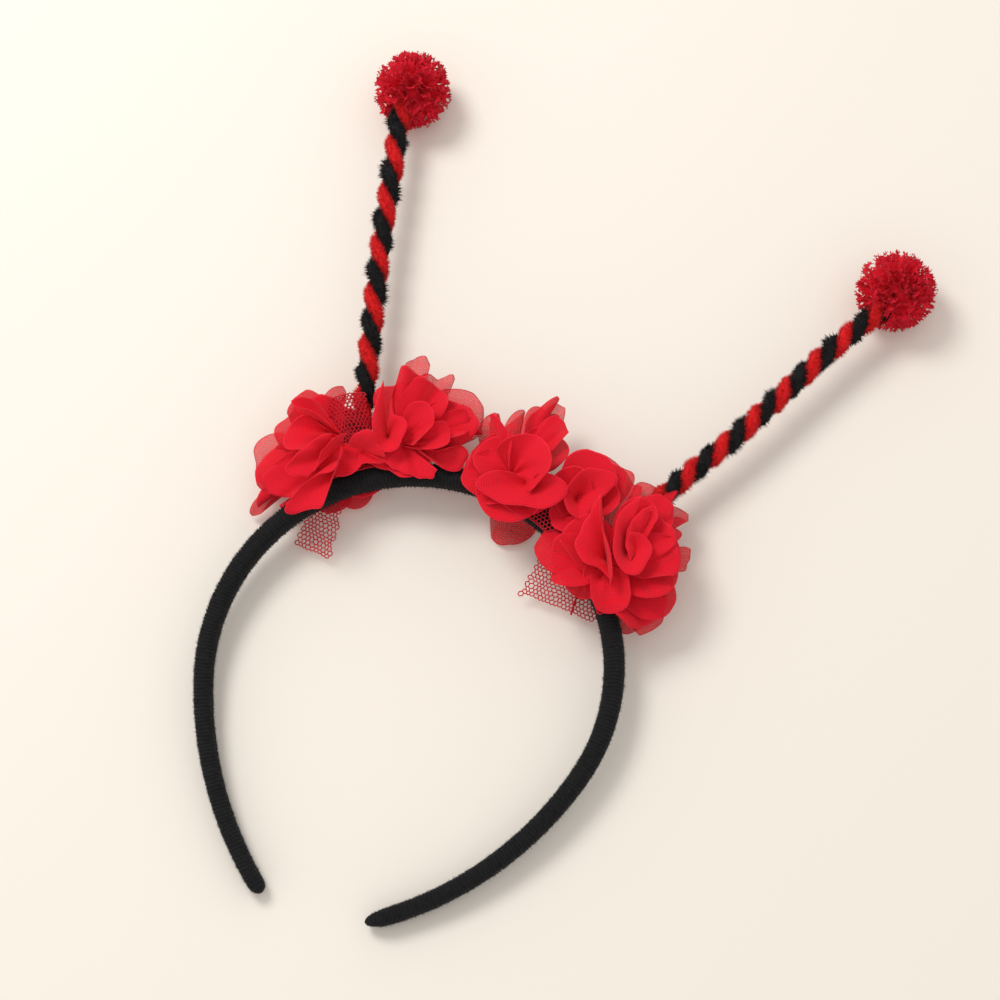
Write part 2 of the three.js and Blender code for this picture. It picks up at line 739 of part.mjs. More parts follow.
// A flower's core runs from its foot, beside the band, to its heart.
function corePoint(spec, sink) {
  const stand = NET_WALL + 2 * CLEARANCE + CORE_RADIUS / 2;
  const foot = besideBand(spec.turn, BAND_THICKNESS / 2 + stand, CORE_FOOT * BAND_WIDTH);
  const heart = besideBand(spec.turn, spec.heart.out * BAND_THICKNESS, spec.heart.up * BAND_WIDTH);
  return heart.lerp(foot, sink);
}

// The half space on one side of a parting line, kept a clearance away from it.
function cutAtParting(solid, parting, side) {
  const centre = spine(parting.turn).centre;
  const heading = radians(parting.heading);
  const normal = new THREE.Vector3(Math.sin(heading), -Math.cos(heading), 0).multiplyScalar(side);
  return solid.trimByPlane(normal.toArray(), normal.dot(centre) + CLEARANCE / 2);
}

function flower(spec, order, rooms) {
  const core = new THREE.LineCurve3(corePoint(spec, 1 + CORE_END), corePoint(spec, -CORE_END));
  let solid = tube(core, CORE_RADIUS, CORE_SIDES, 1);
  for (const row of spec.petals) solid = solid.add(petal(corePoint(spec, row.sink), row, PETAL_WALL));
  if (order > 0) solid = cutAtParting(solid, PARTINGS[order - 1], 1);
  if (order < PARTINGS.length) solid = cutAtParting(solid, PARTINGS[order], -1);
  for (const room of rooms) solid = solid.subtract(room);
  return largestOf(solid);
}

// Materials

function material(name, color, roughness) {
  return new THREE.MeshStandardMaterial({ name, color, roughness, metalness: 0 });
}

const blackPlush = material('black_plush', 0x141314, 0.95);
const redChenille = material('red_chenille', 0xd8181c, 0.9);
const blackChenille = material('black_chenille', 0x101012, 0.95);
const pompomNet = material('red_pompom_net', 0xcc1a2e, 0.8);
const redChiffon = material('red_chiffon', 0xe21f33, 0.7);
const redNet = material('red_net', 0xc9202f, 0.7);

const headband = new THREE.Group();

function addPiece(name, solid, finish) {
  const mesh = solid.getMesh();
  const geometry = new THREE.BufferGeometry();
  geometry.setAttribute('position', new THREE.BufferAttribute(mesh.vertProperties, 3));
  geometry.setIndex(new THREE.BufferAttribute(mesh.triVerts, 1));
  const piece = new THREE.Mesh(geometry, finish);
  piece.name = name;
  headband.add(piece);
}

addPiece('band', band(), blackPlush);

const bandRoom = band(CLEARANCE);
const netRooms = Object.values(NETS).map(netRoom);
const stalkRooms = Object.values(STALKS).map(stalkRoom);

for (const [side, stalk] of Object.entries(STALKS)) {
  const wrap = netRoom(NETS[side]);
  addPiece(`${side}_stem_red`, largestOf(stem(stalk, 0).subtract(wrap).subtract(bandRoom)), redChenille);
  addPiece(`${side}_stem_black`, largestOf(stem(stalk, 180).subtract(wrap).subtract(bandRoom)), blackChenille);
  addPiece(`${side}_pompom`, pompom(stalk), pompomNet);
}

FLOWERS.forEach((spec, order) => {
  addPiece(spec.name, flower(spec, order, [bandRoom, ...netRooms, ...stalkRooms]), redChiffon);
});

for (const [side, spec] of Object.entries(NETS)) {
  addPiece(`${side}_net`, net(spec), redNet);
}

// The origin is the middle of the whole headband, on the surface it lies on.
const box = new THREE.Box3().setFromObject(headband);
headband.position.set(-(box.min.x + box.max.x) / 2, -(box.min.y + box.max.y) / 2, -box.min.z);

export default headband;
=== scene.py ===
import math

import bpy
import numpy as np
from mathutils import Matrix, Vector, noise


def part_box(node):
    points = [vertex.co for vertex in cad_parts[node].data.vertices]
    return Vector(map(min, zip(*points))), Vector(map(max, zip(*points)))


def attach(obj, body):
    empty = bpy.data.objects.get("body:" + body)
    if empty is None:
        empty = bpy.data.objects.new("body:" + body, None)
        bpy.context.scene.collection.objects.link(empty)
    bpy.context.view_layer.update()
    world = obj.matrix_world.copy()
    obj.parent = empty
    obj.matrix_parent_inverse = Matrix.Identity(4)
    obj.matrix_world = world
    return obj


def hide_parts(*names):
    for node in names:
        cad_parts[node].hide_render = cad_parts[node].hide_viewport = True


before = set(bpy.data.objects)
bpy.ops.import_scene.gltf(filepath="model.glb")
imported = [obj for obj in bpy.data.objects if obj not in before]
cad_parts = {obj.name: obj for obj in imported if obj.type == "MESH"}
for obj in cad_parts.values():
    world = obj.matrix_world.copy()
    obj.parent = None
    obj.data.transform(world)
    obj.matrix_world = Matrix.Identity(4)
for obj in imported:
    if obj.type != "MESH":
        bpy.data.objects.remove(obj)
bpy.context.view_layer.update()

# A bee antenna headband lying on a pale floor: a plush covered hair band, two
# twisted chenille antennae with pompoms of gathered net, five chiffon flowers and
# two strips of tulle. Shapes are worked out in millimetres from the middle of the
# band's crown and put into the frame by to_frame.
MM = 0.001

# Sizes of the band, as in the frame
CROWN_RADIUS = 65.0
RIGHT_SHOULDER_RADIUS = 60.0
LEFT_LEG_RADIUS = 120.0
RIGHT_LEG_RADIUS = 110.0
LEFT_ARCS = ((CROWN_RADIUS, 111.0), (LEFT_LEG_RADIUS, 34.0))
RIGHT_ARCS = ((CROWN_RADIUS, 35.0), (RIGHT_SHOULDER_RADIUS, 68.5), (RIGHT_LEG_RADIUS, 42.5))
BAND_THICKNESS = 7.2
BAND_WIDTH = 9.5
TIP_THICKNESS = 5.2
TIP_WIDTH = 7.6
LEFT_TIP_ROUNDING = 4.0
RIGHT_TIP_ROUNDING = 8.0
CROWN_HEIGHT = 14.0
BAND_SQUARENESS = 2.6

# The crown's middle, from the band's left edge and its farthest edge
CROWN_FROM_LEFT = 67.96
CROWN_FROM_BACK = 3.59
LOWEST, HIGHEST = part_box("band")
CROWN = np.array((
    LOWEST.x / MM + CROWN_FROM_LEFT,
    HIGHEST.y / MM - CROWN_FROM_BACK,
    CROWN_HEIGHT,
))

UP = np.array((0.0, 0.0, 1.0))
random_numbers = np.random.default_rng(7)


def to_frame(points):
    return (np.asarray(points, float) + CROWN) * MM


def unit(vectors):
    vectors = np.asarray(vectors, float)
    return vectors / np.linalg.norm(vectors, axis=-1, keepdims=True)


def compass(turn):
    """The level direction that is so many degrees from the +X axis."""
    return np.array((math.cos(math.radians(turn)), math.sin(math.radians(turn)), 0.0))


# Where the band runs

def side_arcs(sign):
    """The arcs of one side with their middles, from the crown down to the tip."""
    arcs = []
    middle = np.array((0.0, -CROWN_RADIUS))
    turned = 0.0
    before = CROWN_RADIUS
    for radius, turn in LEFT_ARCS if sign < 0 else RIGHT_ARCS:
        way = np.array((sign * math.sin(math.radians(turned)), math.cos(math.radians(turned))))
        middle = middle + (before - radius) * way
        arcs.append((middle, radius, turned, turned + turn))
        before = radius
        turned += turn
    return arcs


SIDE_ARCS = {-1: side_arcs(-1), 1: side_arcs(1)}
SIDE_LENGTH = {
    sign: sum(radius * math.radians(end - start) for _, radius, start, end in arcs)
    for sign, arcs in SIDE_ARCS.items()
}


def walk(turn):
    """Where the centre line is after a turn, and how far along the band that is."""
    sign = -1 if turn < 0 else 1
    length = 0.0
    for middle, radius, start, end in SIDE_ARCS[sign]:
        here = min(abs(turn), end)
        length += radius * math.radians(here - start)
        way = np.array((sign * math.sin(math.radians(here)), math.cos(math.radians(here))))
        if abs(turn) <= end + 1e-6:
            break
    return middle + radius * way, length


TIP_TURN = {sign: arcs[-1][3] for sign, arcs in SIDE_ARCS.items()}
LOWEST_TIP = min(walk(sign * turn)[0][1] for sign, turn in TIP_TURN.items())
BAND_SLOPE = (CROWN_HEIGHT - TIP_WIDTH / 2) / -LOWEST_TIP
BAND_UP = unit((0.0, -BAND_SLOPE, 1.0))


def beside_band(turn, out, up):
    """A point so far out from the head and so far up from the band's middle line."""
    place, _ = walk(turn)
    along = np.array((math.cos(math.radians(turn)), -math.sin(math.radians(turn)), 0.0))
    along[2] = along[1] * BAND_SLOPE
    outward = unit(np.cross(BAND_UP, unit(along)))
    centre = np.array((place[0], place[1], place[1] * BAND_SLOPE))
    return centre + out * outward + up * BAND_UP


def on_band(x, y):
    """The turn and the distance out from the centre line of a point seen from above."""
    best = None
    for sign, arcs in SIDE_ARCS.items():
        for middle, radius, start, end in arcs:
            turn = math.degrees(math.atan2(sign * (x - middle[0]), y - middle[1]))
            out = math.hypot(x - middle[0], y - middle[1]) - radius
            if start - 0.01 <= turn <= end + 0.01 and (best is None or abs(out) < abs(best[1])):
                best = (sign * turn, out)
    return best


# Modelling helpers

def deselect_all():
    for thing in bpy.context.selected_objects:
        thing.select_set(False)


def make_active(piece):
    deselect_all()
    piece.select_set(True)
    bpy.context.view_layer.objects.active = piece


def in_edit_mode(piece, *steps):
    """Runs mesh operators on all of a piece."""
    make_active(piece)
    bpy.ops.object.mode_set(mode="EDIT")
    bpy.ops.mesh.select_all(action="SELECT")
    for step, settings in steps:
        step(**settings)
    bpy.ops.object.mode_set(mode="OBJECT")


def apply_modifier(piece, kind, **settings):
    make_active(piece)
    modifier = piece.modifiers.new(kind.title(), kind)
    for name, value in settings.items():
        setattr(modifier, name, value)
    bpy.ops.object.modifier_apply(modifier=modifier.name)


def join(name, pieces):
    deselect_all()
    for piece in pieces:
        piece.select_set(True)
    bpy.context.view_layer.objects.active = pieces[0]
    if len(pieces) > 1:
        bpy.ops.object.join()
    piece = bpy.context.view_layer.objects.active
    piece.name = name
    piece.data.name = name
    return piece


def shade_smooth(piece):
    piece.data.polygons.foreach_set("use_smooth", [True] * len(piece.data.polygons))


def read_points(piece):
    places = np.empty(len(piece.data.vertices) * 3)
    piece.data.vertices.foreach_get("co", places)
    return places.reshape(-1, 3)


def write_points(piece, places):
    piece.data.vertices.foreach_set("co", np.ascontiguousarray(places, float).ravel())
    piece.data.update()


def add_attribute(piece, name, values):
    piece.data.attributes.new(name, "FLOAT", "POINT").data.foreach_set("value", values)


def mesh_from(name, points, faces):
    """A piece made from arrays, for the small things that repeat many times."""
    mesh = bpy.data.meshes.new(name)
    mesh.from_pydata(to_frame(points).tolist(), [], np.asarray(faces).tolist())
    piece = bpy.data.objects.new(name, mesh)
    bpy.context.scene.collection.objects.link(piece)
    shade_smooth(piece)
    return piece


def shaped_grid(name, columns, rows, shape, layers=1.0):
    """A grid primitive laid into its form. shape takes the shares u and v across and
    along it and gives the points, the cloth's own flat coordinates in centimetres
    and the distance to the cut edge in millimetres. layers is how many plies of
    cloth the piece stands for."""
    deselect_all()
    bpy.ops.mesh.primitive_grid_add(x_subdivisions=columns, y_subdivisions=rows, size=1)
    piece = bpy.context.object
    piece.name = name
    flat = read_points(piece)
    points, cloth, rim = shape(flat[:, 0] + 0.5, flat[:, 1] + 0.5)
    write_points(piece, to_frame(points))
    corners = np.empty(len(piece.data.loops), dtype=np.int32)
    piece.data.loops.foreach_get("vertex_index", corners)
    piece.data.uv_layers.active.uv.foreach_set("vector", cloth[corners].ravel())
    add_attribute(piece, "rim", rim)
    add_attribute(piece, "layers", np.full(len(rim), layers))
    return piece


def smooth_line(points, count):
    """A smooth line through the points, evenly spaced."""
    points = np.asarray(points, float)
    ends = (2 * points[0] - points[1], 2 * points[-1] - points[-2])
    around = np.vstack((ends[0], points, ends[1]))
    share = np.linspace(0, 1, 24, endpoint=False)[:, None]
    line = []
    for k in range(len(points) - 1):
        a, b, c, d = around[k:k + 4]
        line.append(0.5 * (
            2 * b + (c - a) * share + (2 * a - 5 * b + 4 * c - d) * share**2
            + (3 * b - a - 3 * c + d) * share**3
        ))
    line = np.vstack(line + [points[-1:]])
    run = np.concatenate(([0], np.cumsum(np.linalg.norm(np.diff(line, axis=0), axis=1))))
    even = np.linspace(0, run[-1], count)
    return np.stack([np.interp(even, run, line[:, axis]) for axis in range(3)], axis=1)


def rod(name, points, radius, sides=8):
    """A round bar along a line of points, closed at both ends."""
    line = bpy.data.curves.new(name, "CURVE")
    line.dimensions = "3D"
    line.bevel_depth = radius * MM
    line.bevel_resolution = max(0, sides // 4 - 1)
    line.use_fill_caps = True
    spline = line.splines.new("POLY")
    spline.points.add(len(points) - 1)
    spline.points.foreach_set("co", np.hstack((to_frame(points), np.ones((len(points), 1)))).ravel())
    piece = bpy.data.objects.new(name, line)
    bpy.context.scene.collection.objects.link(piece)
    make_active(piece)
    bpy.ops.object.convert(target="MESH")
    in_edit_mode(piece, (bpy.ops.mesh.remove_doubles, {"threshold": 1e-6}))
    shade_smooth(piece)
    return piece


def spikes(name, roots, tips, width):
    """Closed three-sided spikes from their roots to their tips, all in one piece."""
    axis = unit(tips - roots)
    beside = unit(np.cross(axis, np.where(np.abs(axis[:, 2:]) < 0.9, UP, (1.0, 0.0, 0.0))))
    above = np.cross(axis, beside)
    width = np.broadcast_to(np.asarray(width, float), (len(roots),))[:, None]
    corners = []
    for k in range(3):
        turn = 2 * math.pi * k / 3
        corners.append(roots + width / 2 * (math.cos(turn) * beside + math.sin(turn) * above))
    points = np.stack(corners + [tips], axis=1).reshape(-1, 3)
    first = 4 * np.arange(len(roots))[:, None, None]
    faces = first + np.array(((0, 2, 1), (0, 1, 3), (1, 2, 3), (2, 0, 3)))
    return mesh_from(name, points, faces.reshape(-1, 3))


# Material helpers

class Finish:
    """A material with one Principled shader and the nodes that feed it."""

    def __init__(self, name, **sockets):
        self.material = bpy.data.materials.new(name)
        self.material.use_nodes = True
        self.tree = self.material.node_tree
        self.shader = self.tree.nodes["Principled BSDF"]
        for socket, value in sockets.items():
            self.shader.inputs[socket.replace("_", " ")].default_value = value

    def add(self, kind, **inputs):
        return add_node(self.tree, kind, **inputs)

    def feed(self, socket, source):
        self.tree.links.new(source, self.shader.inputs[socket])

    def bump(self, height, strength, distance):
        node = self.add("ShaderNodeBump", Height=height)
        node.inputs["Strength"].default_value = strength
        node.inputs["Distance"].default_value = distance * MM
        self.feed("Normal", node.outputs["Normal"])


def add_node(tree, kind, **inputs):
    """A node whose inputs are set by name, or linked where the value is a socket.
    Names that end in a digit count the inputs."""
    node = tree.nodes.new(kind)
    for name, value in inputs.items():
        if name in ("operation", "data_type", "node_tree", "attribute_name", "uv_map", "noise_dimensions"):
            setattr(node, name, value)
            continue
        socket = node.inputs[int(name[1:])] if name[0] == "i" and name[1:].isdigit() else None
        if socket is None:
            socket = node.inputs[name.replace("_", " ")]
        if isinstance(value, bpy.types.NodeSocket):
            tree.links.new(value, socket)
        else:
            socket.default_value = value
    return node


def math_node(tree, operation, first, second=0.0):
    node = tree.nodes.new("ShaderNodeMath")
    node.operation = operation
    for socket, value in zip(node.inputs, (first, second)):
        if isinstance(value, bpy.types.NodeSocket):
            tree.links.new(value, socket)
        else:
            socket.default_value = value
    return node.outputs[0]


def mix_colours(tree, share, first, second):
    node = tree.nodes.new("ShaderNodeMix")
    node.data_type = "RGBA"
    for socket, value in ((node.inputs[0], share), (node.inputs[6], first), (node.inputs[7], second)):
        if isinstance(value, bpy.types.NodeSocket):
            tree.links.new(value, socket)
        else:
            socket.default_value = value
    return node.outputs[2]


def new_group(name, inputs, outputs):
    group = bpy.data.node_groups.new(name, "ShaderNodeTree")
    for socket, kind in inputs:
        group.interface.new_socket(socket, in_out="INPUT", socket_type=kind)
    for socket, kind in outputs:
        group.interface.new_socket(socket, in_out="OUTPUT", socket_type=kind)
    return group, group.nodes.new("NodeGroupInput").outputs, group.nodes.new("NodeGroupOutput").inputs


def lint_group():
    """Soft patches and fine lint, from 0 to 1, for every fibre and cloth."""
    group, given, result = new_group(
        "lint",
        [("Vector", "NodeSocketVector"), ("Patch", "NodeSocketFloat"), ("Lint", "NodeSocketFloat")],
        [("Amount", "NodeSocketFloat")],
    )
    patch = add_node(group, "ShaderNodeTexNoise", Vector=given["Vector"], Scale=given["Patch"], Detail=2.0)
    lint = add_node(group, "ShaderNodeTexNoise", Vector=given["Vector"], Scale=given["Lint"], Detail=1.0)
    both = math_node(group, "ADD", patch.outputs["Fac"], lint.outputs["Fac"])
    group.links.new(math_node(group, "MULTIPLY", both, 0.5), result["Amount"])
    return group


def weave_group():
    """Threads that cross both ways over the cloth's own flat coordinates: 1 on a
    thread and 0 in a hole."""
    group, given, result = new_group(
        "weave",
        [("Vector", "NodeSocketVector"), ("Threads", "NodeSocketFloat"), ("Fineness", "NodeSocketFloat")],
        [("Thread", "NodeSocketFloat")],
    )
    scaled = add_node(group, "ShaderNodeVectorMath", operation="SCALE", i0=given["Vector"])
    group.links.new(given["Threads"], scaled.inputs["Scale"])
    parts = add_node(group, "ShaderNodeSeparateXYZ", Vector=scaled.outputs[0])
    ridges = []
    for axis in ("X", "Y"):
        wave = math_node(group, "SINE", math_node(group, "MULTIPLY", parts.outputs[axis], math.pi))
        ridges.append(math_node(group, "POWER", math_node(group, "ABSOLUTE", wave), given["Fineness"]))
    group.links.new(math_node(group, "MAXIMUM", *ridges), result["Thread"])
    return group


LINT = lint_group()
WEAVE = weave_group()


def lint(finish, vector, patch, fine):
    node = finish.add("ShaderNodeGroup", node_tree=LINT, Vector=vector, Patch=patch, Lint=fine)
    return node.outputs["Amount"]


# Finishes. Colours are linear.
BLACK = (0.005, 0.0048, 0.005, 1)
SOFT_BLACK = (0.024, 0.023, 0.024, 1)
CHENILLE_RED = (0.84, 0.012, 0.014, 1)
CHENILLE_DEEP = (0.60, 0.006, 0.008, 1)
CHIFFON_RED = (0.92, 0.016, 0.036, 1)
CHIFFON_DEEP = (0.62, 0.006, 0.018, 1)
POMPOM_RED = (0.86, 0.018, 0.040, 1)
POMPOM_DEEP = (0.62, 0.010, 0.026, 1)
NET_RED = (0.78, 0.012, 0.032, 1)
NET_DEEP = (0.52, 0.007, 0.020, 1)
LACE_SCALE = 750.0
LACE_CLOTH_SHARE = 0.53
SHEER_BELOW = 1.5
# Painted highlight: how much brighter than the cloth's own red the cut edge of thick cloth is made, for light
# catching the rim
RIM_HIGHLIGHT_BRIGHTNESS = 1.5


def fibre_finish(name, dark, light, patch=180.0, fine=2400.0, sheen=0.04):
    """Fuzzy fibres whose tone drifts from tuft to tuft."""
    finish = Finish(name, Roughness=0.95, Specular_IOR_Level=0.08, Sheen_Weight=sheen, Sheen_Roughness=0.6)
    place = finish.add("ShaderNodeTexCoord").outputs["Object"]
    amount = lint(finish, place, patch, fine)
    finish.feed("Base Color", mix_colours(finish.tree, amount, dark, light))
    grain = finish.add("ShaderNodeTexNoise", Vector=place, Scale=fine)
    finish.bump(grain.outputs["Fac"], 0.4, 0.2)
    return finish.material


def cloth_finish(name, bright, deep, threads, open_alpha, thread_alpha, rim_alpha, rim_width, lace=0):
    """See-through cloth: threads and holes over the cloth's own coordinates, with a denser cut edge;
    lace is how far in from its edge it is torn open. On cloth of several plies the cut edge
    is a painted highlight, brighter than the cloth, for light catching the rim; on sheer cloth
    it is a deeper red, as the denser edge is."""
    finish = Finish(name, Roughness=0.8, Specular_IOR_Level=0.1, Sheen_Weight=0.06, Sheen_Roughness=0.5)
    tree = finish.tree
    flat = finish.add("ShaderNodeUVMap").outputs["UV"]
    weave = finish.add("ShaderNodeGroup", node_tree=WEAVE, Vector=flat, Threads=threads, Fineness=2.0)
    thread = weave.outputs["Thread"]
    edge = finish.add("ShaderNodeAttribute", attribute_name="rim").outputs["Fac"]
    rim = math_node(tree, "LESS_THAN", edge, rim_width)
    place = finish.add("ShaderNodeTexCoord").outputs["Object"]
    drift = lint(finish, place, 90.0, 900.0)
    layers = finish.add("ShaderNodeAttribute", attribute_name="layers").outputs["Fac"]
    shade = math_node(tree, "MULTIPLY", math_node(tree, "ADD", drift, thread), 0.5)
    body = mix_colours(tree, shade, deep, bright)
    sheer = math_node(tree, "LESS_THAN", layers, SHEER_BELOW)
    # Edge colour: on pieces of several plies a painted highlight, the red made brighter for light catching
    # the rim; on sheer pieces the deeper red of the denser edge
    cut = mix_colours(tree, sheer, tuple(min(1, RIM_HIGHLIGHT_BRIGHTNESS * c) for c in bright[:3]) + (1,), deep)
    tone = math_node(tree, "MULTIPLY", rim, 0.7)
    finish.feed("Base Color", mix_colours(tree, tone, body, cut))
    clear = finish.add("ShaderNodeMapRange", Value=thread, To_Min=1 - open_alpha, To_Max=1 - thread_alpha)
    alpha = math_node(tree, "SUBTRACT", 1.0, math_node(tree, "POWER", clear.outputs["Result"], layers))
    thick = math_node(tree, "MULTIPLY", rim, rim_alpha)
    alpha = math_node(tree, "MAXIMUM", alpha, thick)
    if lace:
        spots = finish.add("ShaderNodeTexNoise", Vector=place, Scale=LACE_SCALE, Detail=1.0)
        holes = math_node(tree, "GREATER_THAN", spots.outputs["Fac"], LACE_CLOTH_SHARE)
        frayed = math_node(tree, "MULTIPLY", holes, math_node(tree, "LESS_THAN", edge, lace))
        alpha = math_node(tree, "MULTIPLY", alpha, math_node(tree, "SUBTRACT", 1.0, frayed))
    finish.feed("Alpha", alpha)
    finish.bump(thread, 0.25, 0.1)
    return finish.material


black_plush = fibre_finish("black_plush", BLACK, SOFT_BLACK, patch=700.0)
black_chenille = fibre_finish("black_chenille", BLACK, SOFT_BLACK, patch=600.0)
red_chenille = fibre_finish("red_chenille", CHENILLE_DEEP, CHENILLE_RED, sheen=0.1)
chiffon = cloth_finish("red_chiffon", CHIFFON_RED, CHIFFON_DEEP, 15.0, 0.40, 0.62, 0.8, 0.3)
pompom_net = cloth_finish("red_pompom_net", POMPOM_RED, POMPOM_DEEP, 12.0, 0.55, 0.95, 0.8, 0.4, lace=3.4)
tulle = fibre_finish("red_net", NET_DEEP, NET_RED, sheen=0.1)


def finish_piece(piece, material, slot, *nodes):
    piece.data.materials.clear()
    piece.data.materials.append(material)
    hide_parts(*nodes)
    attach(piece, "root")


# Camera at the photograph's angle. Its place is measured from the crown's middle.
VIEW_AZIMUTH = 28.3
VIEW_ELEVATION = 72.37
VIEW_ROLL = -6.95
CAMERA_FROM_CROWN = (119.5, -213.3, 754.4)
LENS = 89.64
SENSOR = 36.0


def make_camera():
    azimuth, elevation, roll = (math.radians(a) for a in (VIEW_AZIMUTH, VIEW_ELEVATION, VIEW_ROLL))
    ahead = Vector((
        -math.cos(elevation) * math.sin(azimuth),
        math.cos(elevation) * math.cos(azimuth),
        -math.sin(elevation),
    ))
    level = ahead.cross(Vector(UP)).normalized()
    raised = level.cross(ahead)
    right = level * math.cos(roll) + raised * math.sin(roll)
    above = right.cross(ahead)
    data = bpy.data.cameras.new("camera")
    data.sensor_width = SENSOR
    data.lens = LENS
    data.clip_start = 0.05
    data.clip_end = 20.0
    camera = bpy.data.objects.new("camera", data)
    turn = Matrix((right, above, -ahead)).transposed().to_4x4()
    camera.matrix_world = Matrix.Translation(Vector(to_frame(CAMERA_FROM_CROWN))) @ turn
    bpy.context.scene.collection.objects.link(camera)
    bpy.context.scene.camera = camera
    return np.array(right), np.array(above), -np.array(ahead)


VIEW_RIGHT, VIEW_ABOVE, VIEW_BACK = make_camera()


# Band: a rounded section spun along the arcs, then thinned, ribbed and sloped
BAND_SIDES = 28
RIB_PITCH = 1.15
RIB_HEIGHT = 0.5
RIB_SLANT = 0.5
RINGS_PER_RIB = 5
PILE_COUNT = 26000
PILE_LENGTH = (0.35, 0.9)
PILE_WIDTH = 0.15


def band_section(angle):
    power = 2 / BAND_SQUARENESS
    out = np.sign(np.cos(angle)) * np.abs(np.cos(angle)) ** power
    up = np.sign(np.sin(angle)) * np.abs(np.sin(angle)) ** power
    return out * BAND_THICKNESS / 2, up * BAND_WIDTH / 2


def spin_along(middle, turn, length):
    steps = round(length / (RIB_PITCH / RINGS_PER_RIB))
    bpy.ops.mesh.spin(
        steps=steps,
        angle=math.radians(turn),
        center=(middle[0] * MM, middle[1] * MM, 0.0),
        axis=(0.0, 0.0, 1.0),
    )


def thinned(turn, side):
    """How thick and how wide the band is at a turn, as shares of its crown."""
    _, length = walk(turn)
    share = length / SIDE_LENGTH[side]
    rounding = LEFT_TIP_ROUNDING if side < 0 else RIGHT_TIP_ROUNDING
    to_tip = SIDE_LENGTH[side] - length
    round_off = math.sqrt(1 - min(max(0.0, 1 - to_tip / rounding), 0.995) ** 2)
    thick = (1 + (TIP_THICKNESS / BAND_THICKNESS - 1) * share) * round_off
    wide = (1 + (TIP_WIDTH / BAND_WIDTH - 1) * share) * round_off
    return thick, wide, length * side


def band_point(x, y, z):
    """Moves a point of the plain spun bar to the ribbed, tapered and sloped band."""
    turn, out = on_band(x, y)
    side = -1 if turn < 0 else 1
    thick, wide, run = thinned(turn, side)
    across = math.atan2(z / BAND_WIDTH, out / BAND_THICKNESS)
    uneven = noise.noise(Vector((run * 0.35, across * 1.3, 0.0)))
    ridge = abs(math.sin(math.pi * (run + RIB_SLANT * math.sin(across) + 0.35 * uneven) / RIB_PITCH))
    lumps = noise.noise(Vector((run * 1.4, across * 2.6, 3.0)))
    rib = 1 + (RIB_HEIGHT * (ridge**0.7 - 0.75) + 0.1 * lumps) / (BAND_THICKNESS / 2)
    return beside_band(turn, out * thick * rib, z * wide * rib)


def make_band():
    deselect_all()
    bpy.ops.mesh.primitive_circle_add(vertices=BAND_SIDES, radius=1)
    skin = bpy.context.object
    tip = TIP_TURN[-1]
    start, _ = walk(-tip)
    outward = np.array((-math.sin(math.radians(tip)), math.cos(math.radians(tip)), 0.0))
    ring = read_points(skin)
    angle = np.arctan2(ring[:, 1], ring[:, 0])
    out, up = band_section(angle)
    write_points(skin, (np.append(start, 0.0) + out[:, None] * outward + up[:, None] * UP) * MM)
    make_active(skin)
    bpy.ops.object.mode_set(mode="EDIT")
    bpy.ops.mesh.select_all(action="SELECT")
    for middle, radius, begin, end in reversed(SIDE_ARCS[-1]):
        spin_along(middle, end - begin, radius * math.radians(end - begin))
    for middle, radius, begin, end in SIDE_ARCS[1]:
        spin_along(middle, end - begin, radius * math.radians(end - begin))
    bpy.ops.object.mode_set(mode="OBJECT")
    places = [band_point(*place) for place in read_points(skin) / MM]
    write_points(skin, to_frame(places))
    in_edit_mode(
        skin,
        (bpy.ops.mesh.remove_doubles, {"threshold": 1e-6}),
        (bpy.ops.mesh.fill_holes, {"sides": BAND_SIDES}),
        (bpy.ops.mesh.normals_make_consistent, {"inside": False}),
    )
    shade_smooth(skin)
    return skin


def band_pile():
    """Short fibres that stand on the band, leaning at random."""
    run = random_numbers.uniform(-0.998, 0.998, PILE_COUNT)
    angles = random_numbers.uniform(0, 2 * math.pi, PILE_COUNT)
    height = random_numbers.uniform(*PILE_LENGTH, PILE_COUNT)
    roots = []
    tips = []
    for share, angle, reach in zip(run, angles, height):
        side = -1 if share < 0 else 1
        turn = turn_at(side, abs(share) * SIDE_LENGTH[side])
        thick, wide, _ = thinned(turn, side)
        out, up = band_section(angle)
        root = beside_band(turn, out * thick * 0.98, up * wide * 0.98)
        grown = 1 + 2 * reach / BAND_THICKNESS
        tip = beside_band(turn, out * thick * grown, up * wide * (1 + 2 * reach / BAND_WIDTH))
        roots.append(root)
        tips.append(tip)
    lean = random_numbers.normal(0, 0.18, (PILE_COUNT, 3))
    tips = np.array(tips) + lean
    tips[:, 2] = np.maximum(tips[:, 2], 0.05 - CROWN_HEIGHT)
    return spikes("pile", np.array(roots), tips, PILE_WIDTH)


def turn_at(side, length):
    """The turn of the band's centre line at a length from the crown."""
    for _, radius, start, end in SIDE_ARCS[side]:
        arc = radius * math.radians(end - start)
        if length <= arc:
            break
        length -= arc
    return side * (start + math.degrees(min(length, arc) / radius))


# Antennae: two fuzzy stems twisted round each stalk's line
BRISTLE_REACH = 2.8
TWIST_RADIUS = 1.5
STALK_HEIGHT = 13.5 - CROWN_HEIGHT
STALK_FOOT_OUT = 4.0
STEM_CORE = 1.9
STEM_POINTS = 360
BRISTLES = 13000
BRISTLE_WIDTH = 0.28

# turn of the foot on the band, length, heading from the +X axis, pitch and phase of
# the twist; the bend gives how far along and aside its points are, as shares of length
STALKS = {
    "left": {
        "turn": -36, "length": 129.5, "heading": 106.5, "pitch": 18.0, "phase": 40,
        "bend": ((0, 0), (0.3, -0.004), (0.6, -0.005), (0.85, 0.004), (1, 0.006)),
    },
    "right": {
        "turn": 36, "length": 127.5, "heading": 63, "pitch": 13.7, "phase": 100,
        "bend": ((0, 0), (0.3, -0.003), (0.5, 0.002), (0.8, -0.006), (1, 0)),
    },
}


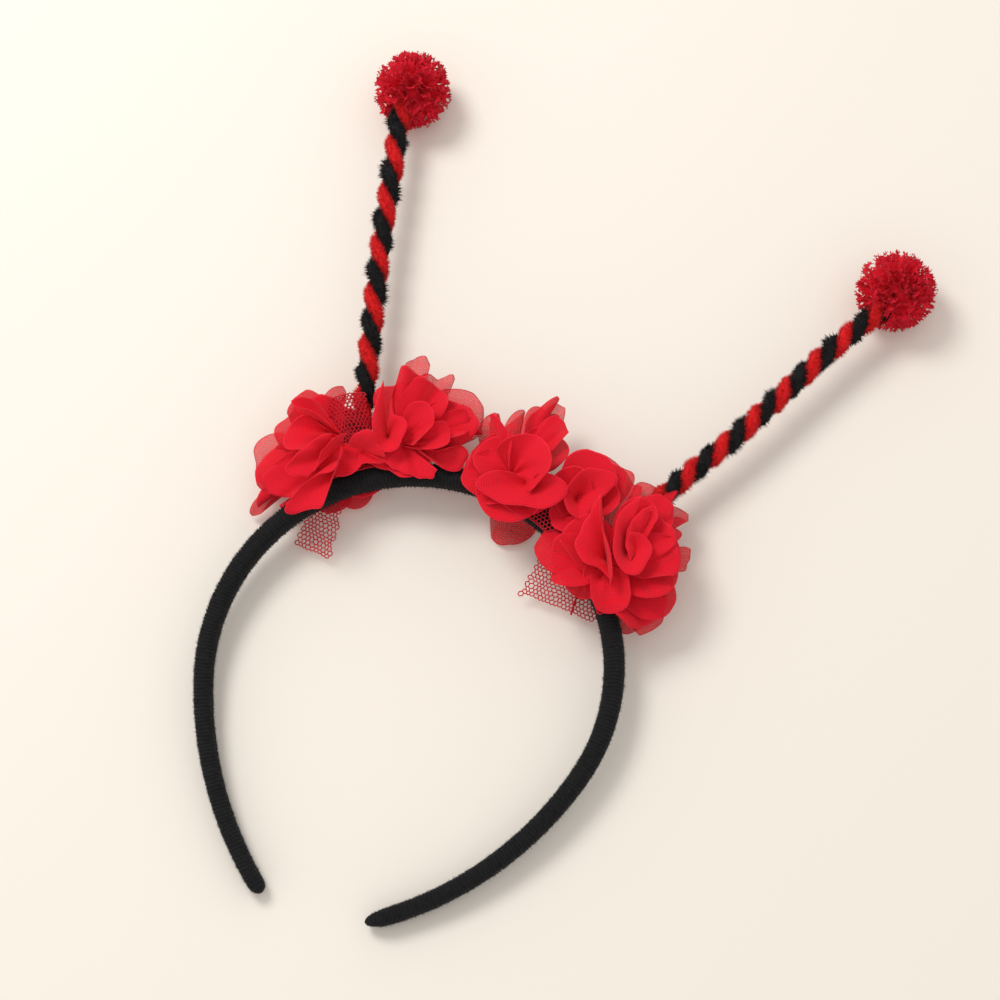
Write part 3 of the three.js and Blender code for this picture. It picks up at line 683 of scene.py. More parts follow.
def stalk_line(stalk):
    foot = beside_band(stalk["turn"], STALK_FOOT_OUT, 0)
    ahead = compass(stalk["heading"])
    right = compass(stalk["heading"] - 90)
    points = []
    for along, aside in stalk["bend"]:
        point = foot + stalk["length"] * (ahead * along + right * aside)
        rise = min(1, along * 4)
        point[2] = foot[2] + (STALK_HEIGHT - foot[2]) * rise
        points.append(point)
    return smooth_line(points, STEM_POINTS)


def twisted(stalk, phase):
    """The line of one stem, and the frame of directions round it."""
    middle = stalk_line(stalk)
    ahead = unit(np.gradient(middle, axis=0))
    beside = unit(np.cross(ahead, UP))
    above = np.cross(beside, ahead)
    turns = stalk["length"] / stalk["pitch"]
    angle = math.radians(stalk["phase"] + phase) + 2 * math.pi * turns * np.linspace(0, 1, STEM_POINTS)
    return middle + TWIST_RADIUS * (np.cos(angle)[:, None] * beside + np.sin(angle)[:, None] * above)


def make_stem(name, stalk, phase, spread):
    """A stem: a soft core with bristles all round that stand in uneven tufts."""
    line = twisted(stalk, phase)
    core = rod(name + "_core", line[::2], STEM_CORE)
    at = random_numbers.uniform(0, STEM_POINTS - 1, BRISTLES)
    where = np.stack([np.interp(at, np.arange(STEM_POINTS), line[:, k]) for k in range(3)], axis=1)
    along = unit(np.gradient(line, axis=0))[at.astype(int)]
    beside = unit(np.cross(along, UP))
    above = np.cross(beside, along)
    angle = random_numbers.uniform(0, 2 * math.pi, BRISTLES)
    way = np.cos(angle)[:, None] * beside + np.sin(angle)[:, None] * above
    tufts = np.array([
        noise.noise(Vector((a * 0.16, math.cos(b) * 1.6, math.sin(b) * 1.6))) for a, b in zip(at, angle)
    ])
    reach = BRISTLE_REACH + 0.9 * spread * tufts + random_numbers.normal(0, 0.2 * spread, BRISTLES)
    lean = along * (0.5 * tufts + random_numbers.normal(0, 0.35, BRISTLES))[:, None]
    roots = where + way * STEM_CORE * 0.8
    tips = where + way * reach[:, None] + lean
    return join(name, [core, spikes(name + "_bristles", roots, tips, BRISTLE_WIDTH)])


# Pompoms: funnels of fine net gathered at the middle. A row gives a funnel's place as
# the camera sees it, right of and above the middle, its mouth's half width, all as
# shares of the radius, and how flat the mouth is, with the turn of its long side.
POMPOM_RADIUS = 12.9
FUNNEL_COLUMNS = 44
FUNNEL_ROWS = 7
HIDDEN_FUNNELS = 44
FUNNELS = {
    "left": (
        (-0.55, -0.27, 0.22, 1.1, 20), (0.0, 0.10, 0.24, 1.2, 0), (0.05, -0.60, 0.22, 1.1, 60),
        (0.58, -0.28, 0.24, 1.2, 30), (-0.22, -0.26, 0.14, 1.8, 110), (0.32, -0.20, 0.16, 2.4, 140),
        (-0.50, 0.10, 0.30, 1.8, 25), (0.48, 0.12, 0.30, 2.0, 160), (0.0, 0.50, 0.34, 1.4, 0),
        (-0.42, 0.52, 0.28, 1.2, 30), (0.42, 0.50, 0.30, 1.3, 150), (-0.80, 0.10, 0.20, 1.6, 90),
        (0.82, 0.12, 0.22, 1.6, 80), (-0.05, 0.84, 0.24, 1.5, 0), (0.45, -0.65, 0.26, 1.5, 45),
        (-0.30, 0.82, 0.20, 1.2, 10), (0.30, 0.82, 0.22, 1.2, 170),
    ),
    "right": (
        (-0.10, 0.30, 0.19, 1.0, 0), (0.30, 0.18, 0.17, 1.1, 20), (-0.45, 0.03, 0.15, 1.1, 30),
        (-0.23, -0.22, 0.15, 1.0, 0), (-0.33, -0.48, 0.15, 1.0, 0), (-0.66, -0.14, 0.13, 1.2, 100),
        (-0.55, -0.34, 0.13, 1.0, 60), (0.42, -0.02, 0.20, 3.0, 40), (0.66, -0.22, 0.40, 2.2, 150),
        (0.05, -0.66, 0.36, 2.0, 5), (0.45, -0.58, 0.32, 2.0, 60), (-0.12, 0.66, 0.28, 1.3, 0),
        (0.30, 0.58, 0.26, 1.3, 20), (0.62, 0.34, 0.26, 1.4, 60), (-0.48, 0.42, 0.24, 1.3, 130),
        (-0.72, 0.18, 0.18, 1.3, 100), (0.85, 0.05, 0.24, 1.6, 80), (-0.20, 0.90, 0.2, 1.2, 0),
        (0.05, 0.02, 0.12, 2.0, 120),
    ),
}


def funnel_shape(centre, axis, wide, flat, turn, seed):
    """A crumpled cone from the pompom's middle to a frayed rim on its round outline."""
    beside = unit(VIEW_RIGHT - axis * float(np.dot(VIEW_RIGHT, axis)))
    above = np.cross(axis, beside)
    spin = math.radians(turn)
    long_way = math.cos(spin) * beside + math.sin(spin) * above
    short_way = np.cross(axis, long_way)

    def shape(u, v):
        angle = 2 * math.pi * u
        crumple = 1 + 0.10 * np.sin(3 * angle + seed) + 0.08 * np.sin(5 * angle + 2.1 * seed)
        crumple += 0.12 * v * np.sin(8 * angle + 3.3 * seed)
        spread = wide * crumple * (0.1 + 0.9 * v**1.25)
        teeth = np.where(np.round(u * FUNNEL_COLUMNS) % 2 == 0, 0.035, -0.035)
        reach = POMPOM_RADIUS * (0.12 + v * (0.87 + 0.04 * np.sin(2 * angle + seed)) + (v > 0.99) * teeth)
        way = unit(
            axis
            + (spread * math.sqrt(flat) * np.cos(angle))[:, None] * long_way
            + (spread / math.sqrt(flat) * np.sin(angle))[:, None] * short_way
        )
        points = centre + way * reach[:, None]
        points[:, 2] = np.maximum(points[:, 2], 0.1 - CROWN_HEIGHT)
        girth = 2 * math.pi * wide * POMPOM_RADIUS
        cloth = np.stack((u * girth, v * POMPOM_RADIUS), axis=1) / 10
        return points, cloth, (1 - v) * POMPOM_RADIUS

    return shape


def make_pompom(name, side):
    low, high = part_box(name)
    centre = np.array((low + high) / 2) / MM - CROWN
    axes = []
    for right, above, wide, flat, turn in FUNNELS[side]:
        back = math.sqrt(max(0.02, 1 - right**2 - above**2))
        axis = unit(VIEW_RIGHT * right + VIEW_ABOVE * above + VIEW_BACK * back)
        axes.append((axis, wide, flat, turn))
    golden = math.pi * (3 - math.sqrt(5))
    for k in range(HIDDEN_FUNNELS):
        up = 1 - 2 * (k + 0.5) / HIDDEN_FUNNELS
        ring = math.sqrt(1 - up**2)
        axis = np.array((ring * math.cos(golden * k), ring * math.sin(golden * k), up))
        if float(np.dot(axis, VIEW_BACK)) < 0.3:
            axes.append((axis, 0.27, 1.3, 40 * k))
    pieces = []
    for k, (axis, wide, flat, turn) in enumerate(axes):
        shape = funnel_shape(centre, axis, wide, flat, turn, 1.7 * k)
        pieces.append(shaped_grid(f"{name}_{k}", FUNNEL_COLUMNS, FUNNEL_ROWS, shape))
    ruffles = join(name + "_net", pieces)
    in_edit_mode(
        ruffles,
        (bpy.ops.mesh.remove_doubles, {"threshold": 5e-6}),
        (bpy.ops.mesh.normals_make_consistent, {"inside": False}),
    )
    apply_modifier(ruffles, "SOLIDIFY", thickness=0.16 * MM, offset=0.0)
    shade_smooth(ruffles)
    return ruffles, len(axes)


def pompom_head(name):
    """The gathered middle that the funnels grow from."""
    low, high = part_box(name)
    deselect_all()
    bpy.ops.mesh.primitive_ico_sphere_add(subdivisions=4, radius=0.56 * POMPOM_RADIUS * MM)
    head = bpy.context.object
    places = read_points(head)
    ways = unit(places)
    swell = np.array([noise.noise(Vector(way * 4.0)) for way in ways])
    centre = np.array((low + high) / 2)
    write_points(head, centre + places * (1 + 0.18 * swell)[:, None])
    add_attribute(head, "rim", np.full(len(places), POMPOM_RADIUS))
    add_attribute(head, "layers", np.full(len(places), 3.0))
    shade_smooth(head)
    return head


# Flowers. The first turn is where the flower's foot is on the band. The heart is at a
# turn of its own, then in shares of the band's thickness out from it and of its width
# above it. A petal's turn is the heading of its tip and lift its rise, both
# in degrees; reach and breadth are shares of the petal's length and width; cup bends
# it across and curl along, and fold turns one half over the other, to the right
# above 0 and to the left below it, in degrees; wave ruffles it, in shares; sink puts
# its root so far down the flower's core, and layers is how many plies it stands for.
# A ruffle has its root and then its rim, in millimetres from the heart: right of it
# and above it as pictured, and for the rim how far it rises.
PETAL_LENGTH = 24.0
PETAL_WIDTH = 19.0
PETAL_WALL = 0.16
PETAL_ROOT = 0.4
PETAL_COLUMNS = 26
PETAL_ROWS = 22
WAVE_HEIGHT = 1.7
PLEAT_HEIGHT = 0.6
CREASE_WIDTH = 1.1
SWEEP = 0.09
POINT_SHARE = 0.25
RUFFLE_COLUMNS = 64
RUFFLE_ROWS = 14
RUFFLE_LAYERS = 3.0
RUFFLE_CRIMP = 0.02
RUFFLE_RIPPLE = 0.4
RUFFLE_FLARE = 1.3
RUFFLE_STAND = 1.8
PICTURE_RIGHT = compass(22.5)
PICTURE_ABOVE = compass(112.5)
RISE_SHIFT = (-0.1, 0.37)
COLUMN_NAMES = ("turn", "lift", "reach", "breadth", "cup", "curl", "fold", "wave", "sink", "layers")
FLOWERS = (
    {"name": "flower_1", "turn": -43, "heart": (-37, 2.0, 0.8), "petals": (
        (195, -14, 1.15, 1.0, 30, -30, 0, 0.8, 0.8, 1.0),
        (207, -6, 1.05, 0.95, 50, -30, 0, 1.0, 0.7, 2.0),
        (165, -2, 0.95, 0.9, 50, -30, 0, 1.0, 0.7, 1.6),
        (137, 12, 1.0, 0.8, 60, -20, 0, 0.8, 0.7, 1.8),
        (118, 16, 0.84, 0.65, 70, -20, 0, 0.8, 0.6, 2.4),
        (101, 5, 1.08, 0.8, 30, -10, 165, 0.4, 0.8, 1.2),
        (92, -2, 0.8, 0.9, 40, -20, 0, 0.6, 0.8, 2.4),
        (229, -13, 1.23, 0.7, 40, -40, -160, 0.4, 0.8, 2.2),
        (232, -18, 1.35, 0.6, 40, -30, -140, 0.4, 0.8, 1.4),
        (205, 14, 0.8, 0.8, 110, -20, 0, 0.5, 0, 3.0),
        (176, 30, 0.85, 0.55, 60, -10, -100, 0.5, 0, 3.0),
        (150, 20, 0.7, 0.55, 60, -10, 120, 0.5, 0.2, 3.0),
        (330, -28, 0.85, 0.9, 40, 30, 0, 0.6, 0.3, 2.8),
        (240, -3, 1.1, 0.8, 50, -30, 0, 0.5, 0.3, 2.4),
        (288, 6, 0.5, 1.0, 40, -20, 0, 0.3, 0.2, 3.0),
        (353, -30, 0.75, 0.8, 10, 60, 0, 0.6, 1, 1.6),
        (305, -38, 0.62, 0.8, 10, 60, 0, 0.5, 1, 1.6),
    ), "ruffles": (
        ((-2.7, -5.9), (
            (-3.7, 1, 8), (-7.5, 0, 9), (-11.2, -2.7, 8), (-15, -6.4, 7), (-18.2, -10.2, 5),
            (-16.6, -12.8, 4), (-11.2, -13.4, 4),
        )),
        ((0, -3), ((1.6, 1.1, 8), (-1.6, 0, 9), (-4.8, -2.7, 9), (-7, -5.9, 8), (-9.1, -11.8, 6))),
        ((-0.5, -8), (
            (0, -4.8, 7), (-2.7, -11.2, 6), (-8.6, -13.1, 5), (-13.9, -17.7, 3), (-17.9, -23.5, 2),
            (-15.5, -25.9, 1), (-9.6, -24.1, 1), (-6.4, -23.8, 2), (-4.8, -18.7, 3), (-3.5, -13.9, 4),
        )),
        ((6.4, -5.9), (
            (1.6, -3.7, 3), (3.1, -0.3, 7), (7, 2, 9), (10.2, 0.5, 8), (11.3, -2.7, 6), (13.8, -7.8, 3),
        )),
        ((5, -5), ((4.3, -7.5, 1), (4.3, -9.5, 1), (9.1, -9.7, 1), (13.6, -9.4, 2), (10.2, -7.5, 3))),
    )},
    {"name": "flower_2", "turn": -25, "heart": (-25, 1.25, 0.53), "petals": (
        (118, 0, 0.9, 0.7, 60, -10, 0, 0.6, 0.2, 2.0),
        (101, -6, 1.4, 0.5, 30, -16, 0, 0.4, 0.4, 1.0),
        (94, 8, 1.06, 0.65, 60, -10, 0, 0.8, 0.1, 2.2),
        (87, -10, 1.28, 0.7, 40, -20, 0, 1.0, 0.4, 1.0),
        (52, -10, 1.32, 1.1, 30, -20, 0, 0.6, 0.3, 1.0),
        (70, 12, 0.98, 0.9, 60, -20, 0, 1.2, 0, 2.2),
        (45, 4, 1.12, 1.0, 50, -20, 0, 1.2, 0, 2.4),
        (34, 10, 1.05, 0.6, 120, -20, 0, 0.4, 0, 3.0),
        (28, -1, 1.18, 0.9, 60, -20, 140, 0.4, 0, 3.0),
        (62, 34, 0.75, 0.75, 110, 0, 0, 0.6, 0, 3.0),
        (20, 22, 0.82, 0.6, 120, -10, 0, 0.4, 0, 3.0),
        (238, 8, 0.42, 1.1, 40, -20, 0, 0.3, 0.1, 3.0),
        (345, 6, 0.55, 0.9, 40, -20, 0, 0.3, 0.1, 3.0),
    ), "ruffles": (
        ((-2.4, 2.1), (
            (-1.6, 15, 8), (-1.1, 10.7, 9), (2.1, 9.4, 9), (3.4, 6.4, 9), (2.1, 2.1, 8), (0.3, -1.3, 7),
            (-3.5, -2.2, 7), (-5.9, -0.5, 8), (-7, 3.2, 9), (-7.8, 8.6, 10), (-6.4, 13.9, 10),
            (-5.1, 19.3, 9), (-4, 21.7, 8),
        )),
        ((2.4, 0), ((13.1, -8.6, 3), (11.5, -11.6, 2), (6.2, -11, 2), (-0.8, -8, 3), (-5.1, -4.8, 4))),
        ((6.2, -0.5), (
            (6.7, -1.7, 5), (15.2, -8.6, 2), (19.5, -9.2, 1), (22.8, -5.9, 1), (21.7, -1.1, 2),
            (16.3, -0.5, 4),
        )),
    )},
    {"name": "flower_3", "turn": 6, "heart": (6, 0.76, 0.74), "petals": (
        (123, -10, 1.06, 0.9, 20, -10, 165, 0.4, 0.3, 1.1),
        (102, -10, 0.98, 0.9, 20, -10, 165, 0.4, 0.3, 1.1),
        (128, 4, 0.62, 0.9, 40, -10, -150, 0.6, 0.2, 2.2),
        (150, 6, 0.65, 0.9, 60, -20, 0, 1.0, 0.2, 1.6),
        (82, -4, 1.26, 0.7, 30, 0, 150, 0.4, 0.3, 2.0),
        (88, -6, 1.08, 0.6, 40, -10, 0, 0.5, 0.3, 1.4),
        (76, -8, 1.22, 0.5, 40, -10, 0, 0.5, 0.3, 1.0),
        (72, 4, 1.0, 0.6, 60, -10, 0, 0.6, 0.1, 2.6),
        (60, 0, 0.85, 0.8, 50, -20, 0, 0.8, 0.2, 2.2),
        (190, -2, 0.64, 1.0, 50, -40, 0, 1.0, 0, 2.2),
        (222, -4, 0.6, 1.05, 50, -50, 0, 1.0, 0.1, 2.4),
        (284, 2, 0.66, 1.4, 60, -40, 0, 0.9, 0.1, 2.8),
        (328, -2, 0.64, 1.0, 60, -40, 0, 0.8, 0.1, 2.8),
        (60, 34, 0.7, 1.1, 100, -10, 0, 0.7, 0, 3.0),
        (132, 20, 0.85, 0.6, 60, -10, -120, 0.4, 0, 3.0),
        (160, 16, 0.6, 0.8, 60, -20, 0, 0.8, 0, 2.8),
        (292, -30, 1.0, 0.9, 10, 70, 0, 0.6, 1, 1.0),
        (247, -35, 0.62, 0.7, 10, 60, 0, 0.5, 1, 1.2),
    ), "ruffles": (
        ((6, -3), (
            (7, 0, 7), (8.5, 1.2, 8), (12.7, 0.3, 8), (16.7, -3.5, 7), (15.6, -8.1, 6), (9.2, -10.7, 5),
            (2.3, -9.8, 5), (-4.6, -8.6, 5), (-10.7, -4, 6), (-10.7, 0, 7), (-6.9, 2, 7), (-1.7, 1.7, 7),
        )),
    )},
    {"name": "flower_4", "turn": 25, "heart": (25, 1.25, 0.53), "petals": (
        (93, -8, 0.95, 1.15, 40, -30, 0, 0.6, 0.3, 1.4),
        (70, -12, 0.96, 0.9, 50, -20, 0, 0.8, 0.3, 1.4),
        (90, 6, 0.82, 1.1, 80, -10, 0, 0.5, 0, 3.0),
        (140, 22, 0.62, 0.9, 130, -10, 0, 0.4, 0, 3.0),
        (215, 6, 0.4, 0.9, 90, -30, 0, 0.3, 0, 3.0),
        (45, 20, 0.62, 0.8, 120, 0, 0, 0.3, 0, 3.0),
    ), "ruffles": (
        ((-1, 4), (
            (-5.1, 7.8, 9), (-2.2, 11.8, 10), (2.4, 15, 10), (8.2, 13.8, 9), (11.9, 10.4, 8), (9.3, 7.2, 7),
            (6.2, 4.6, 7), (3.6, 1.2, 7), (0.4, -2.1, 6), (-3.6, -0.3, 7), (-5.2, 3.7, 8), (-5.2, 7, 9),
        )),
    )},
    {"name": "flower_5", "turn": 41, "heart": (41, 0.76, 0.84), "petals": (
        (95, -6, 1.32, 0.7, 40, -30, 0, 0.7, 0, 1.2),
        (82, -10, 1.4, 0.8, 40, -30, 0, 0.8, 0.1, 1.2),
        (70, -2, 1.2, 0.8, 60, -20, 0, 0.9, 0.1, 2.2),
        (54, -12, 1.42, 1.0, 20, -10, 165, 0.4, 0.2, 1.1),
        (46, -18, 1.12, 0.7, 30, -20, 150, 0.4, 0.3, 1.8),
        (28, -12, 1.12, 0.5, 50, -20, 0, 0.5, 0.3, 1.2),
        (50, 6, 1.0, 0.8, 60, -20, 0, 0.8, 0, 2.4),
        (30, 4, 0.95, 0.8, 60, -20, 0, 0.9, 0, 2.6),
        (13, -4, 1.0, 1.2, 50, -30, 0, 1.0, 0, 2.4),
        (-8, -12, 1.0, 1.05, 50, -30, 0, 1.0, 0.1, 2.0),
        (-24, -12, 0.97, 1.0, 40, -30, 0, 1.0, 0, 1.6),
        (145, 10, 0.75, 0.95, 70, -20, 0, 0.8, 0, 2.6),
        (180, -8, 0.98, 1.1, 50, -50, 0, 1.0, 0.1, 1.8),
        (200, -4, 0.8, 0.95, 50, -60, 0, 1.0, 0, 2.0),
        (222, -14, 0.6, 0.85, 50, -40, 0, 0.8, 0.1, 1.6),
        (80, 14, 1.0, 0.8, 80, 0, 0, 0.4, 0, 3.0),
        (298, 4, 0.7, 0.8, 130, -30, 0, 0.4, 0, 3.0),
        (284, -2, 0.54, 0.85, 60, -50, 0, 0.8, 0, 2.4),
        (332, -15, 1.0, 0.75, 20, -20, 0, 0.8, 0.8, 1.2),
        (311, -23, 0.9, 0.75, 20, -20, 0, 0.7, 0.8, 1.2),
    ), "ruffles": (
        ((0, 1), (
            (-2.3, 24, 8), (-7.5, 14.7, 9), (-10.5, 7.8, 9), (-8.1, 2, 8), (-2.9, -0.5, 7), (0.3, -4, 6),
        )),
        ((0, 2), (
            (-2.3, 24.5, 10), (-2.9, 18, 11), (-2, 12.4, 11), (0, 5.5, 11), (0.6, -0.9, 10), (0.3, -6, 7),
        )),
        ((6.3, 3.5), (
            (10.4, 22.8, 9), (4, 18.7, 10), (1.4, 10.7, 10), (1.2, 4.3, 10), (4, -1.4, 9), (8.9, -2.3, 8),
            (12.7, 2.6, 7), (13.2, 6.6, 7), (10.4, 10.7, 8), (6.3, 11.2, 9),
        )),
        ((10, 5), ((13.8, 19.9, 8), (8.6, 16.7, 9), (5.8, 11.8, 9), (5.2, 6.6, 8), (6.6, 2, 7))),
    )},
)


def bent_line(angles, step):
    """Runs along a line that turns by the angles given at each step: how far it has
    gone ahead and up at each."""
    ahead = np.concatenate(([0], np.cumsum(np.cos(angles[:-1]) * step)))
    up = np.concatenate(([0], np.cumsum(np.sin(angles[:-1]) * step)))
    return ahead, up


def petal_shape(root, row, seed):
    """A round petal gathered at its root and bent across and along."""
    length = row["reach"] * PETAL_LENGTH
    half = min(row["breadth"] * PETAL_WIDTH, 1.6 * length) / 2
    lobe = length - half
    widest = math.asin(min(0.95, half / max(lobe, 0.9 * half)))
    heading = compass(row["turn"])
    aside = compass(row["turn"] - 90)
    start = math.radians(row["lift"] - row["curl"] / 2)
    foot = PETAL_ROOT / length
    fine = np.linspace(-1, 1, 241)
    folded_side = math.copysign(1, row["fold"])
    crease = math.radians(row["fold"]) * (1 + np.tanh(folded_side * fine * half / CREASE_WIDTH)) / 2
    slopes = math.radians(row["cup"]) / 2 * fine + crease
    beside_line, above_line = bent_line(slopes, half / 120)
    beside_line -= np.interp(0, fine, beside_line)
    above_line -= np.interp(0, fine, above_line)
    run = np.linspace(0, 1, 121)
    rise = start + math.radians(row["curl"]) * run
    forward_line, upward_line = bent_line(rise, length / 120)

    def shape(u, v):
        across = 2 * u - 1
        along = foot + (1 - foot) * v
        angle = across * widest
        edge = lobe * np.cos(angle) + np.sqrt(np.maximum(half**2 - (lobe * np.sin(angle)) ** 2, 0))
        edge = edge * (1 + 0.03 * np.sin(4.3 * across + 1.9 * seed))
        if abs(row["fold"]) > 90:
            edge = edge * (1 - POINT_SHARE * np.abs(across))
        flat_aside = along * edge * np.sin(angle) + SWEEP * length * math.sin(3.1 * seed) * along**2
        flat_ahead = along * edge * np.cos(angle)
        aside_share = flat_aside / half
        beside = np.interp(aside_share, fine, beside_line)
        above = np.interp(aside_share, fine, above_line)
        folds = 2 * np.abs(np.sin(2.7 * across + seed)) - 1.2 + 0.4 * np.sin(7.3 * across + 1.7 * seed)
        above = above + WAVE_HEIGHT * row["wave"] * along**1.5 * folds
        pleat = np.sin(9.5 * across + 2.3 * seed) * np.exp(-(((along - 0.3) / 0.28) ** 2))
        above = above + PLEAT_HEIGHT * pleat
        share = flat_ahead / length
        forward = np.interp(share, run, forward_line)
        upward = np.interp(share, run, upward_line)
        slope = np.interp(share, run, rise)
        forward = forward - above * np.sin(slope)
        upward = upward + above * np.cos(slope)
        points = root + forward[:, None] * heading + beside[:, None] * aside + upward[:, None] * UP
        points[:, 2] = np.maximum(points[:, 2], 0.4 - CROWN_HEIGHT)
        cloth = np.stack((flat_aside, flat_ahead), axis=1) / 10
        to_side = (1 - np.abs(across)) * widest * along * length
        rim = np.minimum((1 - v) * length * (1 - foot), to_side)
        return points, cloth, rim

    return shape


def core_point(flower, sink):
    """A flower's core runs from its heart down to its foot beside the band."""
    turn, out, up = flower["heart"]
    heart = beside_band(turn, out * BAND_THICKNESS, up * BAND_WIDTH)
    foot = beside_band(flower["turn"], BAND_THICKNESS / 2 + 3.6, -0.16 * BAND_WIDTH)
    return heart + (foot - heart) * sink


def as_pictured(right, above, rise=0.0):
    """The offset of a point given by its place in the photograph, in millimetres
    right of and above the heart, and by its rise over it."""
    level_right = right - RISE_SHIFT[0] * rise
    level_above = above - RISE_SHIFT[1] * rise
    return level_right * PICTURE_RIGHT + level_above * PICTURE_ABOVE + UP * rise


def ruffle_shape(heart, root, rim, seed):
    """A sheet gathered at its root, whose free edge stands up along the points given."""
    foot = heart + as_pictured(*root)
    edge = smooth_line([heart + as_pictured(*point) for point in rim], RUFFLE_COLUMNS + 1)
    length = float(np.linalg.norm(np.diff(edge, axis=0), axis=1).sum())
    stations = np.arange(len(edge))

    def shape(u, v):
        at = u * RUFFLE_COLUMNS
        places = np.stack([np.interp(at, stations, edge[:, k]) for k in range(3)], axis=1)
        way = places - foot
        level = way * (1, 1, 0)
        reach = np.linalg.norm(way, axis=1)
        crimp = 1 + RUFFLE_CRIMP * v**2 * np.sin(31 * u + seed)
        outward = (v**RUFFLE_FLARE * crimp)[:, None] * level
        ripple = RUFFLE_RIPPLE * v * np.sin(17 * u + 2 * seed)
        upward = (1 - (1 - v) ** RUFFLE_STAND) * way[:, 2] + ripple
        points = foot + outward + upward[:, None] * UP
        aside = (u - 0.5) * length
        cloth = np.stack((aside * (0.3 + 0.7 * v), v * reach), axis=1) / 10
        to_side = np.minimum(u, 1 - u) * length * v
        return points, cloth, np.minimum((1 - v) * reach, to_side)

    return shape


def make_flower(flower, order):
    shapes = []
    for k, values in enumerate(flower["petals"]):
        row = dict(zip(COLUMN_NAMES, values))
        root = core_point(flower, row["sink"])
        shape = petal_shape(root, row, 1.3 * k + 2.9 * order)
        shapes.append((PETAL_COLUMNS, PETAL_ROWS, shape, row["layers"]))
    for k, (root, rim) in enumerate(flower["ruffles"]):
        shape = ruffle_shape(core_point(flower, 0), root, rim, 1.7 * k + order)
        shapes.append((RUFFLE_COLUMNS, RUFFLE_ROWS, shape, RUFFLE_LAYERS))
    petals = []
    area = 0.0
    for k, (columns, rows, shape, layers) in enumerate(shapes):
        petal = shaped_grid(f"petal_{order}_{k}", columns, rows, shape, layers)
        area += sum(face.area for face in petal.data.polygons)
        apply_modifier(petal, "SOLIDIFY", thickness=PETAL_WALL * MM, offset=0.0)
        shade_smooth(petal)
        petals.append(petal)
    return join(flower["name"] + "_petals", petals), area


# Tulle: strips of net with six-sided holes, wrapped round the band, with a flap cut
# short inside it. The wrap runs from the band's turn from to turn to, and round the
# section from the angle start. A flap's corners and a thread's points are given by
# the band's turn and how far out they are, a flap's cut edge first; a puff's line by
# how far out and up its points are.
CELL = 1.36
STRAND = 0.42
NET_STAND = 0.7
CRUMPLE = 0.5
NETS = {
    "left": {
        "from": -58, "to": -31, "start": 55, "seed": 1.0,
        "flap": ((-62, -6.4), (-56, -17.6), (-43, -3.0), (-54, -1.5)),
        "puff": {
            "turn": -34.5, "width": 12,
            "line": ((8, 5), (14, 8), (23, 8.5), (28, 6), (24, 3.5), (8, 2)),
        },
    },
    "right": {
        "from": 16, "to": 53, "start": 128, "seed": 2.0,
        "flap": ((30, -20.6), (52, -5.6), (50, -1.5), (23, -1.5)),
        "thread": ((39.9, -3.2), (43.2, -6.8), (47.9, -10.5)),
    },
}
WRAP_END = -105
FLAP_UP = -BAND_WIDTH / 2 - NET_STAND
FLAP_DROP = 2.0
THREAD_RADIUS = 0.35


def hexagons(width, length, keep):
    """The corners and faces of a honeycomb over a flat strip, in millimetres."""
    side = CELL / math.sqrt(3)
    corners = {}
    points = []
    faces = []
    for row in range(int(length / (1.5 * side)) + 1):
        for column in range(int(width / CELL) + 1):
            x = (column + 0.5 * (row % 2)) * CELL
            y = row * 1.5 * side
            if not keep(x, y):
                continue
            face = []
            for k in range(6):
                angle = math.radians(60 * k + 30)
                corner = (x + side * math.cos(angle), y + side * math.sin(angle))
                key = (round(corner[0], 2), round(corner[1], 2))
                if key not in corners:
                    corners[key] = len(points)
                    points.append(corner)
                face.append(corners[key])
            faces.append(face)
    return np.array(points), faces


def crumpled(point, flat, seed):
    """A point of the net moved a little, as gathered net is."""
    return point + CRUMPLE * np.array(noise.noise_vector(Vector((0.35 * flat[0], 0.35 * flat[1], seed))))


def wrap_part(spec):
    """The strip's way round the band's section."""
    width = CROWN_RADIUS * math.radians(spec["to"] - spec["from"])
    section = []
    for angle in np.radians(np.linspace(spec["start"], WRAP_END, 40)):
        out, up = band_section(angle)
        grow = 1 + NET_STAND / math.hypot(out, up)
        section.append((out * grow, up * grow))
    section = np.array(section)
    run = np.concatenate(([0], np.cumsum(np.linalg.norm(np.diff(section, axis=0), axis=1))))
    flat, faces = hexagons(width, run[-1], lambda x, y: x <= width)
    points = []
    for x, y in flat:
        turn = spec["from"] + (spec["to"] - spec["from"]) * x / width
        out, up = (float(np.interp(y, run, section[:, k])) for k in range(2))
        points.append(beside_band(turn, out, up))
    return points, faces, width, run[-1]


def flap_part(spec):
    """A flat flap of net whose cells run along its cut edge."""
    corners = [beside_band(turn, out, FLAP_UP) for turn, out in spec["flap"]]
    start = corners[0]
    ahead = unit(corners[1] - start)
    inward = corners[3] - start
    inward = unit(inward - ahead * float(np.dot(inward, ahead)))
    outline = [(float(np.dot(c - start, ahead)), float(np.dot(c - start, inward))) for c in corners]
    low = min(x for x, _ in outline)
    width = max(x for x, _ in outline) - low
    length = max(y for _, y in outline)

    def keep(x, y):
        sides = zip(outline, outline[1:] + outline[:1])
        return all((b[0] - a[0]) * (y - a[1]) - (b[1] - a[1]) * (x + low - a[0]) >= 0 for a, b in sides)

    flat, faces = hexagons(width, length, keep)
    points = []
    for x, y in flat:
        hang = FLAP_DROP * (1 - y / length)
        point = start + ahead * (x + low) + inward * y - UP * hang
        points.append(crumpled(point, (x, y), spec["seed"]))
    return points, faces, length


